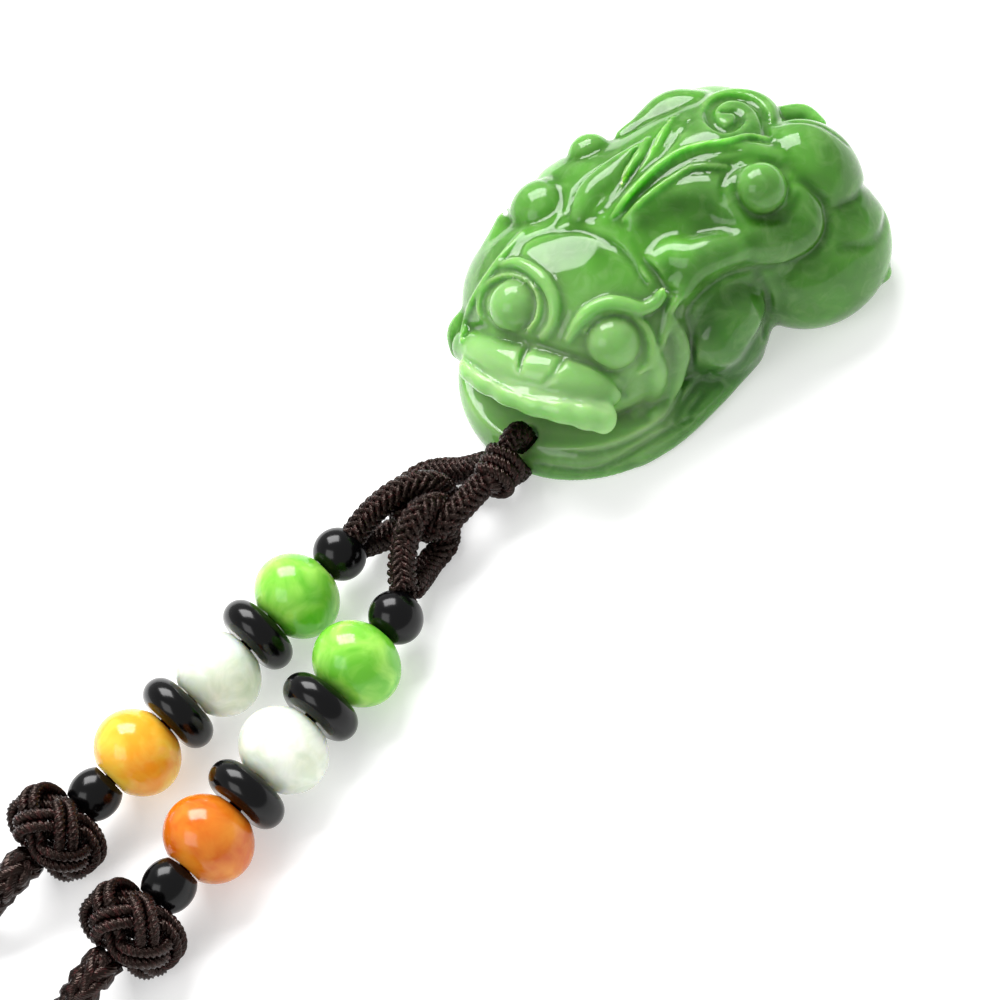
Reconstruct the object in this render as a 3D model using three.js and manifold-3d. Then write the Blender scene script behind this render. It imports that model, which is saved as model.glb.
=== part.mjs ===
// Jade pixiu pendant with two beaded strands and a braided neck cord, lying on a table.
// Millimetres, +Z up. The beast faces -Y and its head turns towards +X.
// The origin is the middle of the beast's footprint, on the table.

import * as THREE from 'three';
import { mergeVertices } from 'three/addons/utils/BufferGeometryUtils.js';
import Module from 'manifold-3d';

const wasm = await Module();
wasm.setup();

// Driving dimensions of the beast
const pixiuLength = 43.6;
const jawThickness = 4.0;
const cordHoleDiameter = 2.7;
const cordChannelDepth = 2.5;
const carvingStep = 1.48;

// Driving dimensions of the beads
const beadDiameter = 8.5;
const beadLength = 6.7;
const beadEndDiameter = 3.6;
const discDiameter = 7.8;
const discLength = 3.2;
const roundBeadDiameter = 5.2;
const roundBeadLength = 4.2;
const barrelDiameter = 4.8;
const barrelLength = 3.6;
const beadBore = 2.0;
const beadGap = 0.15;

// Driving dimensions of the cords and knots
const threadDiameter = 1.4;
const loopCordDiameter = 2.4;
const holeLoopDiameter = 1.9;
const wrapKnotDiameter = 4.2;
const wrapKnotLength = 3.6;
const buttonKnotDiameter = 9.6;
const buttonKnotLength = 5.6;
const buttonCordDiameter = 2.0;
const knotStep = 1.15;
const braidDiameter = 3.6;
const coilMeanDiameter = 40;
const coilTurnsBeside = 3;
const meetingGap = 0.3;

// The carving is drawn in millimetres on a sheet that faces an eye above the near flank,
// and each stroke is pressed onto the body along the line from that eye.
const designLength = 43.6;
const sheetElevation = THREE.MathUtils.degToRad(52);
const sheetRoll = THREE.MathUtils.degToRad(29);
const sheetDistance = 233;
const eyeRight = -16.7;
const eyeUp = -18.25;

const toEye = new THREE.Vector3(Math.cos(sheetElevation), 0, Math.sin(sheetElevation));
const levelRight = new THREE.Vector3(0, 1, 0);
const levelUp = new THREE.Vector3().crossVectors(toEye, levelRight);
const sheetRight = levelRight.clone().multiplyScalar(Math.cos(sheetRoll))
  .addScaledVector(levelUp, -Math.sin(sheetRoll));
const sheetUp = levelRight.clone().multiplyScalar(Math.sin(sheetRoll))
  .addScaledVector(levelUp, Math.cos(sheetRoll));
const eye = toEye.clone().multiplyScalar(sheetDistance)
  .addScaledVector(sheetRight, eyeRight)
  .addScaledVector(sheetUp, eyeUp);

// Distance functions: negative inside, and blended where forms meet

function softUnion(a, b, blend) {
  const h = Math.max(blend - Math.abs(a - b), 0) / blend;
  return Math.min(a, b) - h * h * blend * 0.25;
}

function softCut(a, b, blend) {
  return -softUnion(-a, b, blend);
}

function ovalDistance(x, y, z, [cx, cy, cz], [rx, ry, rz], yaw = 0) {
  const turn = THREE.MathUtils.degToRad(yaw);
  const dx = x - cx;
  const dy = y - cy;
  const u = dx * Math.cos(turn) + dy * Math.sin(turn);
  const v = dy * Math.cos(turn) - dx * Math.sin(turn);
  const w = z - cz;
  const near = Math.hypot(u / rx, v / ry, w / rz) + 1e-9;
  const slope = Math.hypot(u / rx ** 2, v / ry ** 2, w / rz ** 2) + 1e-9;
  return near * (near - 1) / slope;
}

function rodDistance(x, y, z, a, b) {
  const vx = b.x - a.x;
  const vy = b.y - a.y;
  const vz = b.z - a.z;
  const along = ((x - a.x) * vx + (y - a.y) * vy + (z - a.z) * vz) / (vx * vx + vy * vy + vz * vz + 1e-9);
  const t = Math.min(Math.max(along, 0), 1);
  const away = Math.hypot(x - a.x - t * vx, y - a.y - t * vy, z - a.z - t * vz);
  return away - a.r - t * (b.r - a.r);
}

// The head's own axes: across from its far to its near side, ahead to its nose, and up
const headCentre = [4.4, -10.4];
const headTurn = THREE.MathUtils.degToRad(33);

function headAxes(x, y) {
  const dx = x - headCentre[0];
  const dy = y - headCentre[1];
  return [dx * Math.cos(headTurn) + dy * Math.sin(headTurn), dx * Math.sin(headTurn) - dy * Math.cos(headTurn)];
}

function bodyDistance(x, y, z) {
  const [across, ahead] = headAxes(x, y);
  let d = ovalDistance(x, y, z, [-0.4, 1.0, 8.0], [12.4, 11.5, 10.2]);
  d = softUnion(d, ovalDistance(x, y, z, [-1.2, 8.5, 8.4], [11.4, 9.5, 9.8]), 3.0);
  d = softUnion(d, ovalDistance(x, y, z, [-6.0, -3.0, 8.4], [8.0, 8.0, 8.0]), 2.0);
  d = softUnion(d, ovalDistance(x, y, z, [2.8, 15.6, 10.0], [5.8, 5.4, 6.8]), 1.2);
  d = softUnion(d, ovalDistance(x, y, z, [6.0, 13.4, 5.2], [7.2, 7.8, 7.2], 8), 1.0);
  d = softUnion(d, ovalDistance(x, y, z, [-8.0, 10.4, 7.4], [6.2, 7.2, 8.0], -6), 1.0);
  const skull = ovalDistance(across, ahead, z, [-1.6, -3.9, 8.0], [12.2, 9.8, 9.0]);
  const muzzle = ovalDistance(across, ahead, z, [-1.6, 0, 6.8], [10.0, 6.6, 4.8]);
  d = softUnion(d, softUnion(skull, muzzle, 1.0), 1.5);
  const jaw = ovalDistance(across, ahead, z, [-1.8, -2.4, 1.2], [13.4, 13.0, 7.2]);
  d = softUnion(d, Math.max(jaw, z - jawThickness), 0.8);
  return softUnion(d, ovalDistance(x, y, z, [6.8, 1.6, 4.0], [6.0, 6.0, 5.4]), 1.0);
}

function slopeOf(field, x, y, z) {
  const e = 0.05;
  return new THREE.Vector3(
    field(x + e, y, z) - field(x - e, y, z),
    field(x, y + e, z) - field(x, y - e, z),
    field(x, y, z + e) - field(x, y, z - e),
  ).divideScalar(2 * e);
}

function sheetLine(u, v) {
  return sheetRight.clone().multiplyScalar(u).addScaledVector(sheetUp, v).sub(eye).normalize();
}

// A sheet point pressed onto the body, lifted off it (or sunk into it) by lift
function pressed([u, v, r, lift = 0]) {
  const line = sheetLine(u, v);
  const p = eye.clone().addScaledVector(line, sheetDistance * 0.8);
  for (let i = 0; i < 300; i += 1) {
    const d = bodyDistance(p.x, p.y, p.z);
    if (d < 0.005 || p.z < 0) break;
    p.addScaledVector(line, Math.max(0.6 * d, 0.004));
  }
  p.addScaledVector(slopeOf(bodyDistance, p.x, p.y, p.z).normalize(), lift);
  return { x: p.x, y: p.y, z: p.z, r };
}

// A sheet point taken at a given height above the table
function atHeight([u, v, r, height]) {
  const line = sheetLine(u, v);
  const p = eye.clone().addScaledVector(line, (height - eye.z) / line.z);
  return { x: p.x, y: p.y, z: p.z, r };
}

function smoothStroke(points, between = 4) {
  if (points.length < 3) return points;
  const curve = new THREE.CatmullRomCurve3(points.map((p) => new THREE.Vector3(p.x, p.y, p.z)), false, 'catmullrom', 0.5);
  const count = (points.length - 1) * between;
  const stroke = [];
  for (let i = 0; i <= count; i += 1) {
    const place = i / between;
    const before = Math.min(Math.floor(place), points.length - 2);
    const share = place - before;
    const p = curve.getPoint(i / count);
    stroke.push({ x: p.x, y: p.y, z: p.z, r: points[before].r * (1 - share) + points[before + 1].r * share });
  }
  return stroke;
}

// Every stroke of the carving, in the order it is cut
const strokes = [];

function addStroke(points, blend, cuts) {
  const rods = smoothStroke(points);
  const reach = Math.max(...rods.map((p) => p.r)) + blend + 1.2;
  const box = new THREE.Box3().setFromPoints(rods.map((p) => new THREE.Vector3(p.x, p.y, p.z)));
  strokes.push({ box: box.expandByScalar(reach), blend, cuts, distance: (x, y, z) => chainDistance(x, y, z, rods) });
}

function chainDistance(x, y, z, rods) {
  if (rods.length === 1) return Math.hypot(x - rods[0].x, y - rods[0].y, z - rods[0].z) - rods[0].r;
  let d = Infinity;
  for (let i = 1; i < rods.length; i += 1) d = Math.min(d, rodDistance(x, y, z, rods[i - 1], rods[i]));
  return d;
}

const ridge = (blend, ...points) => addStroke(points.map(pressed), blend, false);
const groove = (blend, ...points) => addStroke(points.map(pressed), blend, true);
const lump = (blend, ...points) => addStroke(points.map(atHeight), blend, false);

function carveMouth() {
  const centre = new THREE.Vector3(6.0, -13.0, 4.7);
  const box = new THREE.Box3().setFromCenterAndSize(centre, new THREE.Vector3(24, 24, 8));
  const hollow = (x, y, z) => {
    const [across, ahead] = headAxes(x, y);
    return ovalDistance(across, ahead, z, [-1.6, 5.0, 5.2], [9.2, 5.6, 1.7]);
  };
  strokes.push({ box, blend: 0.5, cuts: true, distance: hollow });
}

function carveFarFlank() {
  lump(0.4, [-13.0, 10.1, 3.0, 13.6]);
  lump(0.5, [-17.3, 2.5, 1.6, 10.6], [-16.3, 5.4, 2.2, 12.1], [-15.1, 8.0, 2.2, 12.8]);
  lump(0.35, [-7.7, 15.5, 2.0, 15.4]);
  lump(0.3, [-4.3, 17.2, 0.8, 15.2], [-3.0, 17.8, 0.9, 15.0], [-1.9, 18.0, 0.7, 14.8]);
  lump(0.6, [-1.6, 17.3, 2.0, 14.2], [0.8, 18.4, 2.6, 14.2], [3.1, 19.2, 2.2, 14.4]);
  lump(0.35, [-20.4, -3.5, 1.2, 7.6], [-20.3, -1.9, 1.5, 8.6], [-19.2, -0.2, 1.2, 10.0]);
}

function carveMane() {
  ridge(0.35, [-9.1, 9.3, 1.0, 0.1], [-7.8, 11.4, 1.3, 0.1], [-6.2, 13.2, 1.1, 0.1], [-4.7, 15.1, 0.7, 0.1]);
  ridge(0.3, [-5.8, 10.3, 0.5, 0.2], [-3.1, 13.8, 0.6, 0.2], [-1.0, 16.7, 0.6, 0.2], [0.8, 18.8, 0.5, 0.1]);
  groove(0.3, [-9.7, 8.5, 0.4, 0.1], [-8.8, 10.9, 0.4, 0.1], [-7.2, 13.2, 0.4, 0.1], [-5.0, 16.1, 0.4, 0.1]);
  groove(0.3, [-7.2, 8.7, 0.5, 0.1], [-4.9, 12.2, 0.5, 0.1], [-2.3, 15.9, 0.5, 0.1], [-0.4, 18.6, 0.4, 0.1]);
}

function carveWing() {
  ridge(0.8, [-5.8, 9.5, 0.9, -0.2], [-3.5, 12.8, 1.2, -0.2], [-0.2, 15.1, 1.3, -0.3],
    [4.3, 16.1, 1.4, -0.3], [7.4, 16.5, 1.3, -0.3], [9.3, 16.1, 0.8, -0.3]);
  ridge(1.0, [-2.3, 10.7, 1.6, -0.6], [0.8, 12.4, 2.8, -1.6], [4.2, 12.8, 3.4, -2.0], [7.8, 11.8, 3.8, -2.2],
    [11.3, 10.3, 3.8, -1.7], [11.5, 8.3, 3.4, -1.0], [9.0, 7.2, 3.0, -1.0], [6.8, 7.0, 2.4, -1.0]);
  groove(0.4, [10.8, 15.7, 0.4, 0.1], [13.0, 14.4, 0.5, 0.2], [14.8, 11.8, 0.5, 0.2], [15.3, 9.4, 0.5, 0.2],
    [14.6, 6.8, 0.5, 0.2], [12.4, 4.9, 0.5, 0.2], [9.0, 4.1, 0.4, 0.1]);
  groove(0.3, [10.7, 13.6, 0.4, 1.9], [8.7, 14.6, 0.5, 1.7], [6.8, 13.8, 0.6, 1.6], [6.1, 11.8, 0.7, 1.6],
    [7.2, 9.9, 0.9, 1.9], [9.3, 9.1, 1.0, 2.1], [11.7, 10.0, 0.9, 2.4], [12.8, 11.3, 0.6, 2.4]);
  ridge(0.2, [8.8, 11.9, 2.1, 0.9]);
}

function carveShoulder() {
  groove(0.6, [-1.7, 7.8, 1.8, 0.8], [0.4, 8.4, 2.0, 1.2], [2.7, 8.2, 1.6, 1.4], [5.0, 7.6, 0.9, 1.4]);
  ridge(0.2, [-1.0, 7.2, 1.4, -0.9]);
  ridge(0.7, [-1.9, 4.9, 0.7, 0], [-0.4, 5.8, 1.1, 0.1], [1.7, 6.3, 1.4, 0.1], [3.9, 6.3, 1.4, 0.2], [6.4, 6.8, 0.9, 0.4]);
  groove(0.5, [-3.1, 5.6, 0.5, 0.2], [-1.7, 3.9, 0.8, 0.3], [-0.4, 1.9, 0.6, 0.2], [0.8, -0.6, 0.6, 0.1], [1.2, -3.7, 0.5, 0.1]);
}

function carveLegs() {
  groove(0.6, [7.8, 2.7, 1.8, 0.9], [5.4, 1.9, 2.2, 1.0], [3.3, 0.4, 1.8, 0.8], [2.1, -1.7, 1.2, 0.5]);
  ridge(0.8, [6.6, -1.0, 3.0, -1.6], [4.9, -3.2, 3.0, -1.6]);
  groove(0.5, [9.3, 2.9, 0.5, 0.2], [10.3, 1.2, 0.6, 0.2], [10.2, -1.4, 0.5, 0.2]);
  groove(0.4, [16.9, 9.5, 0.4, 0.1], [18.8, 11.3, 0.5, 0.1], [20.0, 12.6, 0.4, 0.1]);
  lump(0.3, [20.2, 3.9, 1.1, 2.4]);
}

function carveTail() {
  ridge(0.4, [5.0, 19.0, 2.6, -1.0], [7.0, 19.4, 2.8, -1.0], [8.7, 19.0, 2.2, -1.0]);
  groove(0.3, [2.7, 17.5, 0.4, 1.0], [2.3, 19.4, 0.4, 1.0], [3.5, 21.0, 0.4, 1.0]);
  groove(0.25, [4.3, 18.6, 0.4, 1.7], [3.7, 20.0, 0.5, 1.7], [4.5, 21.2, 0.5, 1.7], [6.0, 21.4, 0.5, 1.7],
    [7.6, 20.7, 0.5, 1.7], [8.5, 19.4, 0.5, 1.7], [8.7, 18.1, 0.4, 1.5]);
  groove(0.25, [3.9, 19.8, 0.4, 1.7], [4.5, 18.6, 0.5, 1.8], [5.6, 18.2, 0.5, 1.8], [6.6, 18.8, 0.4, 1.8]);
}

// Each eye is a ball in a round socket with a ring cut round it
const farEye = [-15.7, 0.7];
const nearEye = [-5.5, -3.3];
const eyeballRadius = 2.5;
const eyeRing = 2.8;

function carveEye([u, v]) {
  groove(0.5, [u, v, 3.4, 2.6]);
}

function setEye([u, v]) {
  const ring = [];
  for (let i = 0; i <= 12; i += 1) {
    const turn = i * Math.PI / 6;
    ring.push([u + eyeRing * Math.cos(turn), v + eyeRing * Math.sin(turn), 0.4, 0.5]);
  }
  groove(0.25, ...ring);
  ridge(0.2, [u, v, eyeballRadius, -0.7]);
}

function carveFace() {
  groove(0.4, [-14.4, 4.7, 0.4, 0.1], [-12.5, 6.6, 0.5, 0.1], [-9.6, 7.4, 0.6, 0.1], [-6.5, 7.0, 0.6, 0.1],
    [-3.7, 5.8, 0.5, 0.1], [-1.7, 3.9, 0.5, 0.1]);
  carveEye(farEye);
  carveEye(nearEye);
  ridge(0.4, [-19.2, 0.2, 0.5, 0.2], [-18.3, 3.1, 0.9, 0.3], [-15.9, 4.8, 1.2, 0.3], [-13.0, 3.7, 1.4, 0.3],
    [-11.3, 1.0, 1.2, 0.3], [-11.8, -1.7, 0.8, 0.2], [-12.8, -3.3, 0.4, 0]);
  ridge(0.4, [-10.9, -3.3, 0.4, 0.1], [-9.5, -1.0, 0.9, 0.3], [-7.8, 0.6, 1.3, 0.4], [-5.7, 1.2, 1.3, 0.4],
    [-3.9, 0.6, 1.2, 0.4], [-2.3, 0.6, 1.0, 0.4], [-1.2, 1.5, 0.9, 0.4], [-0.1, 2.7, 0.5, 0.4]);
  setEye(farEye);
  setEye(nearEye);
}

function carveLip() {
  ridge(0.4, [-19.5, -3.1, 1.3, 0.4], [-17.1, -4.0, 1.8, 0.5], [-14.4, -5.1, 2.1, 0.6], [-11.7, -6.1, 2.2, 0.6],
    [-8.2, -7.4, 2.0, 0.6], [-6.3, -8.1, 1.7, 0.5]);
  const wallThickness = 2.0;
  const teeth = (x, y, z) => {
    const [across, ahead] = headAxes(x, y);
    const front = 6.9 - 0.035 * (across + 1.6) ** 2 + (8.0 - z) * 0.25;
    const wall = Math.abs(ahead - front + wallThickness / 2) - wallThickness / 2;
    const edge = jawThickness + 1.6 + 0.2 * Math.sin(across * 2.6);
    return Math.max(wall, Math.abs(across + 1.2) - 9.6, edge - z, z - 8.4);
  };
  const box = new THREE.Box3().setFromCenterAndSize(new THREE.Vector3(7.0, -15.0, 7.0), new THREE.Vector3(24, 24, 9));
  strokes.push({ box, blend: 0.5, cuts: false, distance: teeth });
  groove(0.2, [-13.8, -3.5, 0.4, 2.4], [-14.2, -4.5, 0.7, 2.3], [-14.7, -5.8, 0.4, 2.4]);
  groove(0.2, [-10.5, -4.5, 0.4, 2.4], [-11.2, -5.6, 0.7, 2.3], [-12.1, -7.0, 0.4, 2.4]);
}

function carveCheek() {
  ridge(0.3, [-2.1, -2.1, 0.8, 0.2], [-0.8, -4.5, 1.3, 0.2], [-0.8, -7.4, 1.4, 0.2], [-2.1, -10.3, 1.2, 0.2],
    [-3.5, -11.8, 0.8, 0.1]);
  ridge(0.3, [0.2, 0.6, 0.6, 0.1], [1.0, -1.7, 0.9, 0.1], [1.5, -4.5, 1.1, 0.1], [1.2, -7.2, 1.1, 0.1],
    [0, -9.7, 0.9, 0.1], [-1.6, -11.8, 0.6, 0.1]);
  groove(0.3, [-4.7, -6.6, 0.4, 0.3], [-4.0, -8.7, 0.6, 0.3], [-4.3, -11.5, 0.5, 0.3]);
}

function carveBase() {
  lump(0.8, [-3.1, -13.4, 1.2, 1.2], [0.4, -10.9, 1.5, 1.2], [3.9, -7.6, 1.6, 1.3], [7.1, -3.9, 1.6, 1.4]);
  groove(0.3, [0, -10.5, 0.4, 0.2], [1.2, -8.2, 0.5, 0.2], [2.7, -6.2, 0.4, 0.2]);
  groove(0.3, [1.6, -10.5, 0.4, 0.2], [2.9, -8.3, 0.5, 0.2], [4.5, -6.6, 0.4, 0.2]);
}

function carveAll() {
  carveMouth();
  carveFarFlank();
  carveMane();
  carveWing();
  carveShoulder();
  carveLegs();
  carveTail();
  carveFace();
  carveLip();
  carveCheek();
  carveBase();
}

// The carving runs on below the table by this much, and is then cut flat at the table
const belowTable = 1.5;
const spot = new THREE.Vector3();

function pixiuDistance(x, y, z) {
  let d = bodyDistance(x, y, z);
  spot.set(x, y, z);
  for (const stroke of strokes) {
    if (!stroke.box.containsPoint(spot)) continue;
    const s = stroke.distance(x, y, z);
    d = stroke.cuts ? softCut(d, s, stroke.blend) : softUnion(d, s, stroke.blend);
  }
  return Math.max(d, -belowTable - z);
}

const corners = [[0, 0, 0], [1, 0, 0], [0, 1, 0], [1, 1, 0], [0, 0, 1], [1, 0, 1], [0, 1, 1], [1, 1, 1]];
const edges = [[0, 1], [2, 3], [4, 5], [6, 7], [0, 2], [1, 3], [4, 6], [5, 7], [0, 4], [1, 5], [2, 6], [3, 7]];

// The corners of one cell that lie on one side, parted into groups joined along its edges
function cornerGroups(v, inside) {
  const group = v.map((value, i) => ((value < 0) === inside ? i : -1));
  for (let pass = 0; pass < 3; pass += 1) {
    for (const [a, b] of edges) {
      if (group[a] < 0 || group[b] < 0) continue;
      group[a] = Math.min(group[a], group[b]);
      group[b] = group[a];
    }
  }
  const groups = [...new Set(group.filter((g) => g >= 0))];
  return groups.map((g) => group.flatMap((mine, i) => (mine === g ? [i] : [])));
}

// In each cell the inside corners must be joined along edges, and the outside ones too,
// so that the surface never touches itself at an edge or a point. The small group changes
// side at first. Later passes only fill, so that they come to an end.
function untangle(values, [nx, ny, nz], step) {
  const freePasses = 6;
  for (let pass = 0; pass < 60; pass += 1) {
    let changed = false;
    for (let k = 0; k < nz - 1; k += 1) {
      for (let j = 0; j < ny - 1; j += 1) {
        for (let i = 0; i < nx - 1; i += 1) {
          const places = corners.map(([a, b, c]) => ((k + c) * ny + j + b) * nx + i + a);
          const v = places.map((n) => values[n]);
          if (v.every((value) => value < 0) || v.every((value) => value >= 0)) continue;
          for (const inside of [true, false]) {
            const groups = cornerGroups(v, inside).sort((a, b) => a.length - b.length);
            if (groups.length < 2) continue;
            const fills = pass >= freePasses;
            const changing = fills && inside ? cornerGroups(v, false)[0].slice(0, 1) : groups[0];
            for (const n of changing) values[places[n]] = (inside && !fills ? 0.1 : -0.1) * step;
            changed = true;
            break;
          }
        }
      }
    }
    if (!changed) return;
  }
}

// The surface where a distance field is zero: one vertex in each cell that the surface
// crosses, and four-sided faces between neighbouring cells. One more layer of cells on
// every side keeps it closed.
function fieldSurface(field, inner, upper, step) {
  const lower = inner.map((low) => low - step);
  const counts = lower.map((low, i) => Math.ceil((upper[i] - low) / step) + 2);
  const [nx, ny, nz] = counts;
  const at = (i, j, k) => (k * ny + j) * nx + i;
  const values = new Float64Array(nx * ny * nz);
  for (let k = 0; k < nz; k += 1) {
    for (let j = 0; j < ny; j += 1) {
      for (let i = 0; i < nx; i += 1) {
        values[at(i, j, k)] = field(lower[0] + i * step, lower[1] + j * step, lower[2] + k * step);
      }
    }
  }
  untangle(values, counts, step);
  const vertexOf = new Int32Array(nx * ny * nz).fill(-1);
  const positions = [];
  for (let k = 0; k < nz - 1; k += 1) {
    for (let j = 0; j < ny - 1; j += 1) {
      for (let i = 0; i < nx - 1; i += 1) {
        const v = corners.map(([a, b, c]) => values[at(i + a, j + b, k + c)]);
        const sum = [0, 0, 0];
        let crossings = 0;
        for (const [a, b] of edges) {
          if ((v[a] < 0) === (v[b] < 0)) continue;
          const t = v[a] / (v[a] - v[b]);
          for (let m = 0; m < 3; m += 1) sum[m] += corners[a][m] + t * (corners[b][m] - corners[a][m]);
          crossings += 1;
        }
        if (!crossings) continue;
        const place = [i, j, k].map((n, m) => lower[m] + (n + sum[m] / crossings) * step);
        vertexOf[at(i, j, k)] = positions.length / 3;
        positions.push(...settled(field, place, step));
      }
    }
  }
  const faces = [];
  const steps = [1, nx, nx * ny];
  for (let k = 1; k < nz - 1; k += 1) {
    for (let j = 1; j < ny - 1; j += 1) {
      for (let i = 1; i < nx - 1; i += 1) {
        const here = at(i, j, k);
        for (let axis = 0; axis < 3; axis += 1) {
          const inside = values[here] < 0;
          if (inside === (values[here + steps[axis]] < 0)) continue;
          const u = steps[(axis + 1) % 3];
          const v = steps[(axis + 2) % 3];
          const quad = [here - u - v, here - v, here, here - u].map((n) => vertexOf[n]);
          if (!inside) quad.reverse();
          faces.push(quad[0], quad[1], quad[2], quad[0], quad[2], quad[3]);
        }
      }
    }
  }
  const geometry = new THREE.BufferGeometry();
  geometry.setAttribute('position', new THREE.Float32BufferAttribute(positions, 3));
  geometry.setIndex(faces);
  return geometry;
}

// A vertex moved down the slope of the field until it lies on the surface
function settled(field, place, step) {
  const p = new THREE.Vector3(...place);
  for (let i = 0; i < 3; i += 1) {
    const slope = slopeOf(field, p.x, p.y, p.z);
    const steepness = Math.max(slope.lengthSq(), 0.2);
    const move = THREE.MathUtils.clamp(field(p.x, p.y, p.z) / steepness, -0.3 * step, 0.3 * step);
    p.addScaledVector(slope, -move);
  }
  return [p.x, p.y, p.z];
}

// Joins and cuts

function toSolid(geometry) {
  const bare = geometry.clone();
  bare.deleteAttribute('normal');
  bare.deleteAttribute('uv');
  const merged = mergeVertices(bare, 1e-4);
  const vertProperties = Float32Array.from(merged.attributes.position.array);
  const triVerts = Uint32Array.from(merged.index.array);
  return new wasm.Manifold(new wasm.Mesh({ numProp: 3, vertProperties, triVerts }));
}

function fromSolid(solid) {
  const mesh = solid.getMesh();
  const positions = [];
  for (let i = 0; i < mesh.vertProperties.length; i += mesh.numProp) {
    positions.push(mesh.vertProperties[i], mesh.vertProperties[i + 1], mesh.vertProperties[i + 2]);
  }
  const geometry = new THREE.BufferGeometry();
  geometry.setAttribute('position', new THREE.Float32BufferAttribute(positions, 3));
  geometry.setIndex(Array.from(mesh.triVerts));
  return geometry;
}

// The cord hole goes straight down through the jaw, and a channel under the jaw
// leads the cord from it to the front, towards the wrap knot
const cordHole = [7.7, -18.6];
const wrapKnotCentre = [10.5, -22.2, 4.6];

function pixiuGeometry() {
  carveAll();
  const share = pixiuLength / designLength;
  const carved = fieldSurface(pixiuDistance, [-17, -27, -2.9], [19, 26, 20.5], carvingStep);
  carved.translate(-cordHole[0], -cordHole[1], 0);
  carved.scale(share, share, share);
  carved.translate(cordHole[0], cordHole[1], 0);
  let solid = toSolid(carved);
  const size = 4 * pixiuLength;
  const below = new THREE.BoxGeometry(size, size, size).translate(0, 0, -size / 2);
  solid = solid.subtract(toSolid(below));
  const drill = new THREE.CylinderGeometry(cordHoleDiameter / 2, cordHoleDiameter / 2, 4 * jawThickness, 20);
  drill.rotateX(Math.PI / 2).translate(cordHole[0], cordHole[1], 0);
  solid = solid.subtract(toSolid(drill));
  const channelLength = 12;
  const channel = new THREE.BoxGeometry(cordHoleDiameter, channelLength, 2 * cordChannelDepth);
  channel.translate(0, -channelLength / 2, 0);
  channel.rotateZ(Math.atan2(wrapKnotCentre[1] - cordHole[1], wrapKnotCentre[0] - cordHole[0]) + Math.PI / 2);
  channel.translate(cordHole[0], cordHole[1], 0);
  return fromSolid(solid.subtract(toSolid(channel)));
}

// Beads: turned profiles round the strand's line, closed round their bore

function roundProfile(diameter, length, endDiameter, count) {
  const points = [new THREE.Vector2(beadBore / 2, -length / 2)];
  const half = length / 2;
  const squash = half / Math.sqrt(1 - (endDiameter / diameter) ** 2);
  for (let i = 0; i <= count; i += 1) {
    const y = -half * Math.cos(i * Math.PI / count);
    points.push(new THREE.Vector2((diameter / 2) * Math.sqrt(1 - (y / squash) ** 2), y));
  }
  points.push(new THREE.Vector2(beadBore / 2, half));
  points.push(points[0].clone());
  return points;
}

function discProfile() {
  const points = [new THREE.Vector2(beadBore / 2, -discLength / 2)];
  const edge = discLength / 2;
  for (let i = 0; i <= 4; i += 1) {
    const turn = -Math.PI / 2 + i * Math.PI / 4;
    points.push(new THREE.Vector2(discDiameter / 2 - edge + edge * Math.cos(turn), edge * Math.sin(turn)));
  }
  points.push(new THREE.Vector2(beadBore / 2, discLength / 2));
  points.push(points[0].clone());
  return points;
}

const greenJade = new THREE.MeshStandardMaterial({ color: '#5fa347', roughness: 0.12, metalness: 0 });
const greenStone = new THREE.MeshStandardMaterial({ color: '#6cc43c', roughness: 0.12, metalness: 0 });
const whiteStone = new THREE.MeshStandardMaterial({ color: '#dfe9df', roughness: 0.12, metalness: 0 });
const amberStone = new THREE.MeshStandardMaterial({ color: '#f6a21c', roughness: 0.12, metalness: 0 });
const orangeStone = new THREE.MeshStandardMaterial({ color: '#e8711a', roughness: 0.12, metalness: 0 });
const blackStone = new THREE.MeshStandardMaterial({ color: '#0b0b0c', roughness: 0.08, metalness: 0 });
const brownCord = new THREE.MeshStandardMaterial({ color: '#2c1613', roughness: 0.6, metalness: 0 });

const beadTypes = {
  round: { length: roundBeadLength, profile: roundProfile(roundBeadDiameter, roundBeadLength, 2.6, 4), sides: 12 },
  large: { length: beadLength, profile: roundProfile(beadDiameter, beadLength, beadEndDiameter, 5), sides: 14 },
  disc: { length: discLength, profile: discProfile(), sides: 14 },
  barrel: { length: barrelLength, profile: roundProfile(barrelDiameter, barrelLength, 3.4, 3), sides: 12 },
};

const model = new THREE.Group();

function addMesh(name, geometry, material) {
  const mesh = new THREE.Mesh(geometry, material);
  mesh.name = name;
  model.add(mesh);
  return mesh;
}

function turnAlong(mesh, place, heading) {
  mesh.quaternion.setFromUnitVectors(new THREE.Vector3(0, 1, 0), heading);
  mesh.position.copy(place);
}

// A button knot: one cord woven round a ball, so that it crosses itself over and under

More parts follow.
